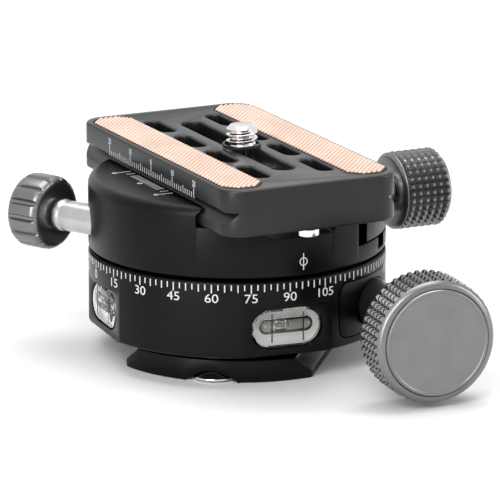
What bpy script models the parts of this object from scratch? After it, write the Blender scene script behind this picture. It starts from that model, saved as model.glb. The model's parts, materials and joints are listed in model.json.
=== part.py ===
"""Geared tripod head: a worm-driven panning base with a dovetail clamp and its plate.

Metres, +Z up. The origin is on the pan axis, at the underside of the foot.
"""
import math

import bmesh
import bpy
from mathutils import Matrix, Vector

UP = Vector((0, 0, 1))

# Fits
GAP = 0.0003
OVERRUN = 0.002
MERGE = 0.0000001
BIG_SEGMENTS = 60
MID_SEGMENTS = 24
KNOB_SEGMENTS = 40
SMALL_SEGMENTS = 12

# Foot plate, a dovetail that runs along FOOT_AZIMUTH
FOOT_AZIMUTH = math.radians(57.5)
FOOT_HALF_LENGTH = 0.0248
FOOT_END_R = 0.0275
FOOT_HALF_WIDTH = 0.019
FOOT_LIP_H = 0.0017
FOOT_BEVEL = 0.0028
FOOT_DECK_EDGE = 0.0001
FOOT_H = 0.0061
FOOT_NECK_R = 0.0205
FOOT_EDGE = 0.0003
FOOT_SCREW_ALONG = 0.012
FOOT_SCREW_INSET = 0.007
FOOT_SCREW_R = 0.0014
FOOT_SCREW_HEAD_R = 0.0027
FOOT_SCREW_HEAD_H = 0.0018
FOOT_SCREW_SINK = 0.0006
FOOT_SCREW_LENGTH = 0.0082
FOOT_STOP_INSET = 0.0033
FOOT_STOP_MOUTH_R = 0.00595
FOOT_STOP_POCKET_H = 0.0036
FOOT_STOP_SINK = 0.0001
FOOT_STOP_HEAD_R = 0.0044
FOOT_STOP_RIM_H = 0.0007
FOOT_STOP_SHANK_R = 0.0013
FOOT_STOP_SHANK_L = 0.0022
SOCKET_R = 0.00476
INSERT_R = 0.0075
INSERT_INSET = 0.0004

# Base housing and its pan bearing
BODY_R = 0.030
BASE_H = 0.0155
BASE_EDGE = 0.0004
FLAT_CUT = 0.00155
FLAT_H = 0.0102
NUT_ROOM_R = 0.013
WEB_H = 0.002
NUT_H = 0.0014
NUT_R = 0.011
HUB_R = 0.006
BUSH_WALL = 0.0014
BUSH_FLANGE_R = 0.0112
BUSH_FLANGE_H = 0.0006

# Bubble levels in the two flats
LEVEL_LENGTH = 0.0144
LEVEL_H = 0.0074
LEVEL_DEPTH = 0.004
LEVEL_Z = 0.0118

# Worm drive
WHEEL_TEETH = 40
WORM_INSET = 0.009
TOOTH_ADDENDUM = 0.0006
TOOTH_DEDENDUM = 0.0009
TOOTH_HALF_THICKNESS = 0.00037
TOOTH_FLANK = math.radians(20)
WHEEL_FACE_H = 0.004
WORM_PITCH_R = 0.004
WORM_LENGTH = 0.0112
WORM_RINGS_PER_PITCH = 6
WORM_SEGMENTS = 14
WORM_SHAFT_R = 0.003
WORM_TAIL = 0.0056
WORM_BUSH_LENGTH = 0.0036
WORM_BUSH_SETBACK = 0.0012
DRUM_INSET = 0.0006
DRUM_ABOVE_SEAM = 0.0035
DRUM_WAIST_DEPTH = 0.0025

# Worm carrier, a flush insert round the gear shaft, measured from the worm's axis
CARRIER_THICKNESS = 0.0055
CARRIER_INWARD = 0.0097
CARRIER_OUTWARD = 0.0067
CARRIER_BELOW = 0.0054
CARRIER_ABOVE = 0.0057
CARRIER_CORNER = 0.0022
CARRIER_LIP = 0.0009
CARRIER_SCREW_R = 0.0008
CARRIER_SCREW_HEAD_R = 0.0013
CARRIER_SCREW_L = 0.0052
CARRIER_SCREW_HEAD_H = 0.0009
CARRIER_SCREW_INSET = 0.0023

# Gear knob
GEAR_SHAFT_R = 0.0045
GEAR_KNOB_R = 0.012
GEAR_KNOB_H = 0.011
GEAR_KNOB_REACH = 0.0142
GEAR_KNOB_EDGE = 0.0008
GEAR_CAP_R = 0.0107
GEAR_CAP_H = 0.0014
GEAR_STUB_R = 0.003
GEAR_STUB_L = 0.0068
SET_SCREW_R = 0.0009
SET_SCREW_L = 0.005
SET_SCREW_FROM_BACK = 0.0026

# Upper body, turned by PAN_REST in the stored pose
PAN_REST = math.radians(5.36)
SEAM = 0.0006
ROTOR_H = 0.0144
ROTOR_EDGE = 0.0015
ROTOR_LOWER_EDGE = 0.0003
GROOVE_DEPTH = 0.0041
ROTOR_WEB = 0.0029
PIVOT_R = 0.003
PIVOT_HEAD_R = 0.0054
PIVOT_HEAD_H = 0.002
PIVOT_HEX_R = 0.0022
PIVOT_HEX_H = 0.0012
PIVOT_LENGTH = 0.0105
PIVOT_WASHER_H = 0.0006

# Quick release plate, a standard 38 mm dovetail
PLATE_LENGTH = 0.071
DOVETAIL_HALF_WIDTH = 0.019
DOVETAIL_LIP_H = 0.0021
DOVETAIL_BEVEL = 0.0028
SLAB_H = 0.0045
SLAB_CORNER = 0.0048
SLAB_EDGE = 0.0005
SLAB_NOTCH = 0.0008
PLATE_HOLLOW_HALF = 0.0096
PLATE_HOLLOW_LENGTH = 0.0568
PLATE_ROOF = 0.0032
LONG_SLOT_LENGTH = 0.0492
SHORT_SLOT_LENGTH = 0.0108
SHORT_SLOT_W = 0.0034
SHORT_SLOT_X = 0.0069
SHORT_SLOT_PITCH = 0.0149
SHORT_SLOTS = 4
STRIP_LENGTH = 0.0668
STRIP_W = 0.0086
STRIP_X = 0.01365
STRIP_SINK = 0.0007
STRIP_PROUD = 0.0005
PLATE_TRAVEL = 0.020
STOP_Y = 0.0318
STOP_HEAD_R = 0.0023
STOP_HEAD_DROP = 0.0021
STOP_SHANK_R = 0.001
STOP_SHANK_L = 0.0034
STOP_ROOM_HALF = 0.0074
STOP_ROOM_DEPTH = 0.0023
STOP_ROOM_CORNER = 0.001

# Camera screw, 1/4 inch, that slides in the long slot
CAMERA_SCREW_R = 0.003175
CAMERA_SCREW_Y = -0.0022
CAMERA_SCREW_UP = 0.0044
CAMERA_SCREW_TIP = 0.0008
CAMERA_HEAD_R = 0.0064
CAMERA_HEAD_H = 0.0036
COIN_SLOT_W = 0.0014
COIN_SLOT_H = 0.0014
CLIP_R = 0.0039
CLIP_H = 0.0006

# Moving jaw and its clamp screw
JAW_SLOT_INSET = 0.005
JAW_SLOT_W = 0.0025
JAW_FLOOR_DROP = 0.0067
LEDGE_SLOT_INSET = 0.0091
LEDGE_SLOT_W = 0.0027
LEDGE_SLOT_H = 0.0025
CLAMP_DROP = 0.0035
CLAMP_SCREW_R = 0.0025
CLAMP_TIP_CLEAR = 0.0034
CLAMP_BOSS_R = 0.0042
CLAMP_WASHER_R = 0.0046
CLAMP_WASHER_H = 0.0006
CLAMP_SEAT_DEPTH = 0.0005
CLAMP_KNOB_R = 0.008
CLAMP_KNOB_H = 0.0092
CLAMP_KNOB_REACH = 0.015
CLAMP_DISH_R = 0.0071
CLAMP_DISH_DEPTH = 0.0018
CLAMP_KNOB_EDGE = 0.0006
CLAMP_TAIL_R = 0.0025
CLAMP_TAIL_SHORT = 0.0031
PIN_R = 0.0014
PIN_Y = 0.014
PIN_ROOT = 0.0052
PIN_INSET = 0.0072
PIN_DROP = 0.0035
SPRING_COIL_R = 0.002
SPRING_WIRE_R = 0.00028
SPRING_TURNS = 5
SPRING_SEAT_DEPTH = 0.004

# Lock screw, off the pan axis, that draws a cotter against the drum
LOCK_AZIMUTH = math.radians(118)
LOCK_BEYOND_DRUM = 0.002
LOCK_DROP = 0.0093
LOCK_TRAVEL = 0.0008
COTTER_R = 0.0034
COTTER_FROM = -0.0072
COTTER_TO = 0.0078
COTTER_CLEAR = 0.0007
LOCK_SCREW_R = 0.0022
LOCK_BUSH_SINK = 0.00236
LOCK_BUSH_L = 0.0058
LOCK_STEM_CLEAR = 0.0008
LOCK_STEM_R = 0.0033
LOCK_KNOB_CLEAR = 0.00113
LOCK_KNOB_H = 0.0126
LOCK_TAIL_L = 0.0063
LOCK_KNOB_R = 0.0079
LOCK_KNOB_EDGE = 0.0016
LOCK_GROOVES = 14
LOCK_GROOVE_R = 0.0007

# Heights that follow
BASE_Z0 = FOOT_H + GAP
BASE_Z1 = BASE_Z0 + BASE_H
ROTOR_Z0 = BASE_Z1 + SEAM
ROTOR_Z1 = ROTOR_Z0 + ROTOR_H
GROOVE_Z = ROTOR_Z1 - GROOVE_DEPTH
PLATE_Z0 = GROOVE_Z + GAP
SLAB_Z0 = PLATE_Z0 + DOVETAIL_LIP_H + DOVETAIL_BEVEL
PLATE_Z1 = SLAB_Z0 + SLAB_H
NUT_Z0 = BASE_Z0 + GAP
WEB_Z0 = NUT_Z0 + NUT_H + GAP
WEB_Z1 = WEB_Z0 + WEB_H
FLANGE_Z0 = WEB_Z1 + GAP
WHEEL_Z0 = FLANGE_Z0 + BUSH_FLANGE_H + GAP
WORM_Z = WHEEL_Z0 + WHEEL_FACE_H / 2
DRUM_Z1 = ROTOR_Z0 + DRUM_ABOVE_SEAM
RECESS_Z1 = DRUM_Z1 + GAP
PIVOT_SEAT_Z = RECESS_Z1 + ROTOR_WEB
CLAMP_Z = GROOVE_Z - CLAMP_DROP
PIN_Z = GROOVE_Z - PIN_DROP
LOCK_Z = ROTOR_Z1 - LOCK_DROP
JAW_FLOOR_Z = GROOVE_Z - JAW_FLOOR_DROP

# Radii and places that follow
FOOT_SCREW_ACROSS = FOOT_HALF_WIDTH - FOOT_SCREW_INSET
FOOT_STOP_ALONG = FOOT_HALF_LENGTH - FOOT_STOP_INSET
FLAT_FROM_AXIS = BODY_R - FLAT_CUT
WORM_X = BODY_R - WORM_INSET
WHEEL_PITCH_R = WORM_X - WORM_PITCH_R
WHEEL_TIP_R = WHEEL_PITCH_R + TOOTH_ADDENDUM
WORM_TIP_R = WORM_PITCH_R + TOOTH_ADDENDUM
WORM_PITCH = 2 * math.pi * WHEEL_PITCH_R / WHEEL_TEETH
WELL_R = WHEEL_TIP_R + GAP
WORM_BORE_R = WORM_TIP_R + GAP
DRUM_R = WHEEL_TIP_R - DRUM_INSET
DRUM_WAIST_R = DRUM_R - DRUM_WAIST_DEPTH
HUB_HOLE_R = HUB_R + GAP + BUSH_WALL + GAP
CARRIER_BACK_R = BODY_R - CARRIER_THICKNESS
CARRIER_X0 = WORM_X - CARRIER_INWARD
CARRIER_X1 = WORM_X + CARRIER_OUTWARD
CARRIER_Z0 = WORM_Z - CARRIER_BELOW
CARRIER_Z1 = WORM_Z + CARRIER_ABOVE
GEAR_KNOB_BACK = BODY_R + GEAR_KNOB_REACH
JAW_WALL_X = DOVETAIL_HALF_WIDTH + GAP / math.tan(math.pi / 8)
LIP_TOP_X = JAW_WALL_X - (ROTOR_Z1 - PLATE_Z0 - DOVETAIL_LIP_H)
JAW_SLOT_X0 = DOVETAIL_HALF_WIDTH - JAW_SLOT_INSET
JAW_X0 = JAW_SLOT_X0 + JAW_SLOT_W
LEDGE_SLOT_X0 = BODY_R - LEDGE_SLOT_INSET
CLAMP_SCREW_TIP_X = PIVOT_HEAD_R + CLAMP_TIP_CLEAR
CLAMP_KNOB_END = BODY_R + CLAMP_KNOB_REACH
CLAMP_KNOB_X0 = CLAMP_KNOB_END - CLAMP_KNOB_H
PIN_X0 = JAW_SLOT_X0 - PIN_ROOT
PIN_X1 = BODY_R - PIN_INSET
LOCK_OFFSET = DRUM_R + LOCK_BEYOND_DRUM
LOCK_BUSH_TO = math.sqrt(BODY_R ** 2 - (LOCK_OFFSET + COTTER_R) ** 2) - LOCK_BUSH_SINK
LOCK_STEM_FROM = LOCK_BUSH_TO + LOCK_STEM_CLEAR
LOCK_KNOB_FROM = math.sqrt(BODY_R ** 2 - (LOCK_OFFSET - LOCK_KNOB_R) ** 2) + LOCK_KNOB_CLEAR
THREAD_SLOT_HALF = CAMERA_SCREW_R + GAP

MATERIALS = {
    "black_anodised": ((0.018, 0.018, 0.019), 0.85, 0.38),
    "plate_anodised": ((0.045, 0.045, 0.047), 0.85, 0.36),
    "knob_grey": ((0.16, 0.155, 0.15), 0.9, 0.32),
    "satin_steel": ((0.55, 0.54, 0.53), 1.0, 0.28),
    "chrome": ((0.75, 0.75, 0.76), 1.0, 0.08),
    "brass": ((0.55, 0.40, 0.17), 1.0, 0.3),
    "bronze": ((0.40, 0.25, 0.13), 1.0, 0.35),
    "grip_rubber": ((0.26, 0.13, 0.09), 0.0, 0.6),
    "clear_acrylic": ((0.80, 0.85, 0.62), 0.0, 0.08),
}


# Scene and materials

def clear_scene():
    for item in list(bpy.data.objects):
        bpy.data.objects.remove(item, do_unlink=True)


def new_collection(name, hidden=False):
    collection = bpy.data.collections.new(name)
    bpy.context.scene.collection.children.link(collection)
    collection.hide_render = hidden
    return collection


def make_material(name):
    color, metallic, roughness = MATERIALS[name]
    made = bpy.data.materials.new(name)
    made.use_nodes = True
    shader = made.node_tree.nodes["Principled BSDF"]
    shader.inputs["Base Color"].default_value = (*color, 1)
    shader.inputs["Metallic"].default_value = metallic
    shader.inputs["Roughness"].default_value = roughness
    made.diffuse_color = (*color, 1)
    return made


clear_scene()
PARTS = new_collection("geared_tripod_head")
CUTTERS = new_collection("cutters", hidden=True)
SHADES = {name: make_material(name) for name in MATERIALS}


def empty(name, location, parent=None, turn=0):
    made = bpy.data.objects.new(name, None)
    made.location = location
    made.rotation_euler = (0, 0, turn)
    made.parent = parent
    made.empty_display_size = BODY_R / 2
    PARTS.objects.link(made)
    return made


ROTOR_FRAME = empty("pan_axis", (0, 0, 0), turn=PAN_REST)
FOOT_FRAME = empty("foot_direction", (0, 0, 0), turn=FOOT_AZIMUTH)


# Shape helpers

def as_object(name, build, shade=None, parent=None, cutter=False):
    """Make an object from a bmesh that the build function fills."""
    mesh = bpy.data.meshes.new(name)
    shape = bmesh.new()
    build(shape)
    bmesh.ops.recalc_face_normals(shape, faces=shape.faces)
    shape.to_mesh(mesh)
    shape.free()
    made = bpy.data.objects.new(name, mesh)
    made.parent = parent
    if cutter:
        made.display_type = "WIRE"
        made.hide_render = True
        CUTTERS.objects.link(made)
    else:
        made.data.materials.append(SHADES[shade])
        PARTS.objects.link(made)
    return made


def box(name, low, high, **where):
    """A block between two corners."""
    low, high = Vector(low), Vector(high)

    def build(shape):
        bmesh.ops.create_cube(shape, size=1)
        bmesh.ops.scale(shape, vec=high - low, verts=shape.verts)
        bmesh.ops.translate(shape, vec=(low + high) / 2, verts=shape.verts)
    return as_object(name, build, **where)


def rod(name, radius, start, end, segments=MID_SEGMENTS, end_radius=None, **where):
    """A cylinder or cone between two points."""
    start, end = Vector(start), Vector(end)
    along = end - start
    tip = radius if end_radius is None else end_radius

    def build(shape):
        bmesh.ops.create_cone(shape, cap_ends=True, segments=segments, radius1=radius,
                              radius2=tip, depth=along.length)
        turn = along.to_track_quat("Z", "Y").to_matrix().to_4x4()
        bmesh.ops.transform(shape, matrix=Matrix.Translation((start + end) / 2) @ turn,
                            verts=shape.verts)
    return as_object(name, build, **where)


def turned(name, profile, segments=MID_SEGMENTS, at=(0, 0, 0), along=UP, **where):
    """A profile of (radius, height) points, top to bottom, turned round an axis."""
    closed = profile[0][0] > 0 or profile[-1][0] > 0

    def build(shape):
        points = [shape.verts.new((radius, 0, height)) for radius, height in profile]
        for first, second in zip(points, points[1:]):
            shape.edges.new((first, second))
        if closed:
            shape.edges.new((points[-1], points[0]))
    made = as_object(name, build, **where)
    screw = made.modifiers.new("turn", "SCREW")
    screw.steps = screw.render_steps = segments
    screw.use_merge_vertices = True
    screw.merge_threshold = MERGE
    screw.use_smooth_shade = False
    made.location = at
    made.rotation_euler = Vector(along).to_track_quat("Z", "Y").to_euler()
    return made


def slab(name, outline, low, high, **where):
    """A flat outline, as a filled 2D curve, extruded between two heights."""
    curve = bpy.data.curves.new(name + "_outline", "CURVE")
    curve.dimensions = "2D"
    curve.fill_mode = "BOTH"
    curve.extrude = (high - low) / 2
    spline = curve.splines.new("POLY")
    spline.points.add(len(outline) - 1)
    for point, place in zip(spline.points, outline):
        point.co = (*place, 0, 1)
    spline.use_cyclic_u = True
    holder = bpy.data.objects.new(name + "_outline", curve)
    bpy.context.scene.collection.objects.link(holder)
    flat = bpy.data.meshes.new_from_object(holder.evaluated_get(bpy.context.evaluated_depsgraph_get()))
    bpy.data.objects.remove(holder)

    def build(shape):
        shape.from_mesh(flat)
        bmesh.ops.remove_doubles(shape, verts=shape.verts, dist=MERGE)
        bmesh.ops.translate(shape, vec=(0, 0, (low + high) / 2), verts=shape.verts)
    return as_object(name, build, **where)


def aim(made, at, along):
    """Put an object's own Z axis on a line."""
    made.location = at
    made.rotation_euler = Vector(along).to_track_quat("Z", "Y").to_euler()
    return made


def boolean(made, other, operation):
    step = made.modifiers.new(operation.lower(), "BOOLEAN")
    step.operation = operation
    step.solver = "EXACT"
    step.object = other
    return made


def cut(made, *others):
    for other in others:
        boolean(made, other, "DIFFERENCE")
    return made


def join(made, *others):
    for other in others:
        boolean(made, other, "UNION")
    return made


def keep_inside(made, other):
    return boolean(made, other, "INTERSECT")


def bevel(made, width, segments=2, angle=math.radians(40)):
    step = made.modifiers.new("edges", "BEVEL")
    step.width = width
    step.segments = segments
    step.limit_method = "ANGLE"
    step.angle_limit = angle
    return made


def smooth(made, angle=math.radians(35)):
    made.data.shade_smooth()
    made.data.set_sharp_from_angle(angle=angle)
    return made


# Outlines

def circle(radius, segments=BIG_SEGMENTS, centre=(0, 0)):
    return [(centre[0] + radius * math.cos(2 * math.pi * k / segments),
             centre[1] + radius * math.sin(2 * math.pi * k / segments))
            for k in range(segments)]


def rounded_box(low, high, corner, steps=4):
    """A rectangle with round corners, counterclockwise."""
    (x0, y0), (x1, y1) = low, high
    centres = ((x1 - corner, y1 - corner), (x0 + corner, y1 - corner),
               (x0 + corner, y0 + corner), (x1 - corner, y0 + corner))
    return [(cx + corner * math.cos(math.pi / 2 * (quarter + k / steps)),
             cy + corner * math.sin(math.pi / 2 * (quarter + k / steps)))
            for quarter, (cx, cy) in enumerate(centres) for k in range(steps + 1)]


def stadium(length, width, centre=(0, 0), upright=False, steps=5):
    """A slot outline with round ends, its length along X, or along Y when upright."""
    radius = width / 2
    reach = length / 2 - radius
    outline = []
    for side in (1, -1):
        for k in range(2 * steps + 1):
            swing = math.pi / 2 * (k / steps - 1)
            outline.append((side * (reach + radius * math.cos(swing)), side * radius * math.sin(swing)))
    if upright:
        outline = [(-y, x) for x, y in outline]
    return [(x + centre[0], y + centre[1]) for x, y in outline]


def tooth_thickness(height):
    """Half the thickness of a rack tooth at a height above its pitch line."""
    return TOOTH_HALF_THICKNESS - height * math.tan(TOOTH_FLANK)


def wheel_outline():
    """Straight-flanked teeth, with a space on the +X axis for the worm."""
    outline = []
    for tooth in range(WHEEL_TEETH):
        middle = 2 * math.pi * (tooth + 0.5) / WHEEL_TEETH
        for height, side in ((-TOOTH_DEDENDUM, -1), (TOOTH_ADDENDUM, -1),
                             (TOOTH_ADDENDUM, 1), (-TOOTH_DEDENDUM, 1)):
            radius = WHEEL_PITCH_R + height
            angle = middle + side * tooth_thickness(height) / radius
            outline.append((radius * math.cos(angle), radius * math.sin(angle)))
    return outline


def fluted_outline(radius, count, groove_r, steps=2):
    """A circle with round grooves cut into it."""
    outline = []
    half = math.asin(groove_r / radius)
    for groove in range(count):
        middle = 2 * math.pi * groove / count
        for k in range(steps + 1):
            swing = math.pi * k / steps
            x = radius * math.cos(half) - groove_r * math.sin(swing)
            y = -groove_r * math.cos(swing)
            outline.append((x * math.cos(middle) - y * math.sin(middle),
                            x * math.sin(middle) + y * math.cos(middle)))
    return outline


def right_angle_steps(steps=2):
    """Angles from zero to a right angle, for a rounded edge."""
    return [math.pi / 2 * k / steps for k in range(steps + 1)]


# Foot

def foot_profile():
    """Half section across the dovetail, from the underside up."""
    waist = FOOT_HALF_WIDTH - FOOT_BEVEL
    bevel_top = FOOT_LIP_H + FOOT_BEVEL
    half = [(FOOT_HALF_WIDTH - FOOT_EDGE, 0), (FOOT_HALF_WIDTH, FOOT_EDGE),
            (FOOT_HALF_WIDTH, FOOT_LIP_H), (waist, bevel_top), (waist, FOOT_H)]
    return half + [(-x, z) for x, z in reversed(half)]


def make_foot():
    """A dovetail with arched ends and a low round neck that carries the base."""
    reach = FOOT_HALF_LENGTH + OVERRUN
    foot = slab("foot_plate", foot_profile(), -reach, reach, shade="black_anodised",
                parent=FOOT_FRAME)
    # The outline's X runs across the dovetail, its Y up and its depth along it.
    foot.rotation_euler = (math.pi / 2, 0, math.pi / 2)
    for side in (-1, 1):
        centre = (side * (FOOT_HALF_LENGTH - FOOT_END_R), 0)
        end = slab(f"foot_end_{side}", circle(FOOT_END_R, centre=centre), -OVERRUN,
                   FOOT_H + OVERRUN, cutter=True, parent=FOOT_FRAME)
        keep_inside(foot, end)
    deck = FOOT_LIP_H + FOOT_BEVEL + FOOT_DECK_EDGE
    far = FOOT_END_R + OVERRUN
    neck_room = turned("foot_neck_room", [(FOOT_NECK_R, FOOT_H + OVERRUN), (far, FOOT_H + OVERRUN),
                                          (far, deck), (FOOT_NECK_R, deck)], BIG_SEGMENTS,
                       cutter=True, parent=FOOT_FRAME)
    socket = rod("foot_socket", INSERT_R + GAP, (0, 0, -OVERRUN), (0, 0, FOOT_H + OVERRUN),
                 cutter=True, parent=FOOT_FRAME)
    cut(foot, neck_room, socket)
    head_z = FOOT_SCREW_SINK + FOOT_SCREW_HEAD_H
    for number, (x, y) in enumerate(foot_screw_places(), start=1):
        hole = rod(f"foot_screw_hole_{number}", FOOT_SCREW_R + GAP, (x, y, -OVERRUN),
                   (x, y, FOOT_H + OVERRUN), SMALL_SEGMENTS, cutter=True, parent=FOOT_FRAME)
        sink = rod(f"foot_screw_sink_{number}", FOOT_SCREW_HEAD_R + GAP, (x, y, -OVERRUN),
                   (x, y, head_z + GAP), SMALL_SEGMENTS, cutter=True, parent=FOOT_FRAME)
        cut(foot, hole, sink)
    for side, name in ((-1, "near"), (1, "far")):
        pocket = turned(f"foot_stop_pocket_{name}", stop_pocket_profile(), MID_SEGMENTS,
                        (side * FOOT_STOP_ALONG, 0, 0), cutter=True, parent=FOOT_FRAME)
        cut(foot, pocket)
    smooth(foot)


def stop_slope():
    """How much the countersink's radius shrinks for each length of height."""
    return (FOOT_STOP_MOUTH_R - FOOT_STOP_SHANK_R - GAP) / FOOT_STOP_POCKET_H


def stop_pocket_profile():
    """A countersink, wide enough to break out of the foot's end, and a blind hole above it."""
    hole_r = FOOT_STOP_SHANK_R + GAP
    hole_top = stop_shank_z() + FOOT_STOP_SHANK_L + GAP
    return [(0, hole_top), (hole_r, hole_top), (hole_r, FOOT_STOP_POCKET_H),
            (FOOT_STOP_MOUTH_R + OVERRUN * stop_slope(), -OVERRUN), (0, -OVERRUN)]


def stop_shank_z():
    """Where the stop screw's cone reaches its shank, its cone side by side with the seat."""
    rim_top = FOOT_STOP_SINK + FOOT_STOP_RIM_H
    return rim_top + (FOOT_STOP_HEAD_R - FOOT_STOP_SHANK_R) / stop_slope()


def foot_screw_places():
    return [(a * FOOT_SCREW_ALONG, b * FOOT_SCREW_ACROSS) for a in (-1, 1) for b in (-1, 1)]


def screw_profile(head_r, head_h, shank_r, shank_l, edge=0):
    """A screw seen from its head, which is at the top; its face is at height 0."""
    face = [(0, 0), (head_r - edge, 0), (head_r, -edge)] if edge else [(0, 0), (head_r, 0)]
    return face + [(head_r, -head_h), (shank_r, -head_h), (shank_r, -head_h - shank_l),
                   (0, -head_h - shank_l)]


def make_foot_screws():
    shank = FOOT_SCREW_LENGTH - FOOT_SCREW_HEAD_H
    profile = screw_profile(FOOT_SCREW_HEAD_R, FOOT_SCREW_HEAD_H, FOOT_SCREW_R, shank)
    for number, (x, y) in enumerate(foot_screw_places(), start=1):
        turned(f"foot_screw_{number}", profile, SMALL_SEGMENTS, (x, y, FOOT_SCREW_SINK), -UP,
               shade="chrome", parent=FOOT_FRAME)
    shank_z = stop_shank_z()
    top = shank_z + FOOT_STOP_SHANK_L
    profile = [(0, top), (FOOT_STOP_SHANK_R, top), (FOOT_STOP_SHANK_R, shank_z),
               (FOOT_STOP_HEAD_R, FOOT_STOP_SINK + FOOT_STOP_RIM_H),
               (FOOT_STOP_HEAD_R, FOOT_STOP_SINK), (0, FOOT_STOP_SINK)]
    for side, name in ((-1, "near"), (1, "far")):
        turned(f"foot_stop_screw_{name}", profile, MID_SEGMENTS, (side * FOOT_STOP_ALONG, 0, 0),
               shade="chrome", parent=FOOT_FRAME)
    turned("thread_insert", [(SOCKET_R, FOOT_H - INSERT_INSET), (INSERT_R, FOOT_H - INSERT_INSET),
                             (INSERT_R, INSERT_INSET), (SOCKET_R, INSERT_INSET)],
           shade="satin_steel", parent=FOOT_FRAME)


# Base housing

def level_outline(grow=0):
    return stadium(LEVEL_LENGTH + 2 * grow, LEVEL_H + 2 * grow, (0, LEVEL_Z))


def make_level(name, azimuth):
    """An acrylic vial block, flush with a flat that faces the azimuth."""
    front = FLAT_FROM_AXIS
    vial = slab(name, level_outline(), front - LEVEL_DEPTH, front, shade="clear_acrylic")
    pocket = slab(name + "_pocket", level_outline(GAP), front - LEVEL_DEPTH - GAP,
                  front + OVERRUN, cutter=True)
    turn = Matrix.Rotation(azimuth, 3, "Z") @ Matrix(((0, 0, 1), (1, 0, 0), (0, 1, 0)))
    for item in (vial, pocket):
        item.rotation_euler = turn.to_euler()
    smooth(vial)
    return pocket


def carrier_block(name, grow, outer, **where):
    """A rounded block through the wall at the worm shaft, before its faces are turned."""
    outline = rounded_box((CARRIER_X0 - grow, CARRIER_Z0 - grow),
                          (CARRIER_X1 + grow, CARRIER_Z1 + grow), CARRIER_CORNER)
    back = math.sqrt(BODY_R ** 2 - CARRIER_X1 ** 2) - CARRIER_LIP - grow
    made = slab(name, outline, back, outer, **where)
    made.rotation_euler = (math.pi / 2, 0, 0)
    return made


def annulus(name, inner, outer, **where):
    low, high = BASE_Z0 - OVERRUN, BASE_Z1 + OVERRUN
    return turned(name, [(inner, high), (outer, high), (outer, low), (inner, low)],
                  BIG_SEGMENTS, **where)


def make_base():
    body = turned("base_housing", [(WELL_R, BASE_Z1), (BODY_R - BASE_EDGE, BASE_Z1),
                                   (BODY_R, BASE_Z1 - BASE_EDGE), (BODY_R, BASE_Z0),
                                   (NUT_ROOM_R, BASE_Z0),
                                   (NUT_ROOM_R, WEB_Z0), (HUB_HOLE_R, WEB_Z0),
                                   (HUB_HOLE_R, WEB_Z1), (WELL_R, WEB_Z1)],
                  BIG_SEGMENTS, shade="black_anodised")
    for name, azimuth in (("left", math.pi), ("front", -math.pi / 2)):
        side = box(f"flat_{name}", (FLAT_FROM_AXIS, -BODY_R, BASE_Z0 - OVERRUN),
                   (BODY_R + OVERRUN, BODY_R, BASE_Z0 + FLAT_H), cutter=True)
        side.rotation_euler = (0, 0, azimuth)
        cut(body, side, make_level(f"level_vial_{name}", azimuth))
    tunnel = rod("worm_tunnel", WORM_BORE_R,
                 (WORM_X, WORM_LENGTH / 2 + WORM_TAIL + GAP, WORM_Z),
                 (WORM_X, -BODY_R - OVERRUN, WORM_Z), cutter=True)
    cut(body, tunnel)
    seat = carrier_block("carrier_seat", GAP, BODY_R + OVERRUN, cutter=True)
    keep_inside(seat, annulus("carrier_seat_ring", CARRIER_BACK_R - GAP, BODY_R + OVERRUN,
                              cutter=True))
    cut(body, seat)
    for number, (x, y) in enumerate(foot_screw_places(), start=1):
        hole = rod(f"base_screw_hole_{number}", FOOT_SCREW_R + GAP, (x, y, BASE_Z0 - OVERRUN),
                   (x, y, FOOT_SCREW_SINK + FOOT_SCREW_LENGTH + GAP), SMALL_SEGMENTS,
                   cutter=True, parent=FOOT_FRAME)
        cut(body, hole)
    x, y = carrier_screw_place()
    cut(body, rod("carrier_screw_way", CARRIER_SCREW_HEAD_R + GAP, (x, y, BASE_Z0 - OVERRUN),
                  (x, y, CARRIER_Z0), SMALL_SEGMENTS, cutter=True))
    smooth(body)


def carrier_screw_place():
    middle_r = (CARRIER_BACK_R + BODY_R) / 2
    x = CARRIER_X0 + CARRIER_SCREW_INSET
    return x, -math.sqrt(middle_r ** 2 - x ** 2)


def make_carrier():
    carrier = carrier_block("worm_carrier", 0, BODY_R + OVERRUN, shade="black_anodised")
    keep_inside(carrier, annulus("carrier_ring", CARRIER_BACK_R, BODY_R, cutter=True))
    shaft_way = rod("carrier_bore", GEAR_SHAFT_R + GAP, (WORM_X, 0, WORM_Z),
                    (WORM_X, -BODY_R - OVERRUN, WORM_Z), cutter=True)
    cut(carrier, shaft_way)
    screw_top = BASE_Z0 + GAP + CARRIER_SCREW_HEAD_H + CARRIER_SCREW_L
    profile = screw_profile(CARRIER_SCREW_HEAD_R, CARRIER_SCREW_HEAD_H, CARRIER_SCREW_R,
                            CARRIER_SCREW_L)
    x, y = carrier_screw_place()
    cut(carrier, rod("carrier_screw_hole", CARRIER_SCREW_R + GAP, (x, y, CARRIER_Z0 - OVERRUN),
                     (x, y, screw_top + GAP), SMALL_SEGMENTS, cutter=True))
    turned("carrier_screw", profile, SMALL_SEGMENTS, (x, y, BASE_Z0 + GAP), -UP,
           shade="satin_steel")
    smooth(carrier)


def make_pan_bush():
    inner = HUB_R + GAP
    outer = inner + BUSH_WALL
    turned("pan_bush", [(inner, FLANGE_Z0 + BUSH_FLANGE_H), (BUSH_FLANGE_R, FLANGE_Z0 + BUSH_FLANGE_H),
                        (BUSH_FLANGE_R, FLANGE_Z0), (outer, FLANGE_Z0), (outer, WEB_Z0),
                        (inner, WEB_Z0)], shade="bronze")


# Worm drive

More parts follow.
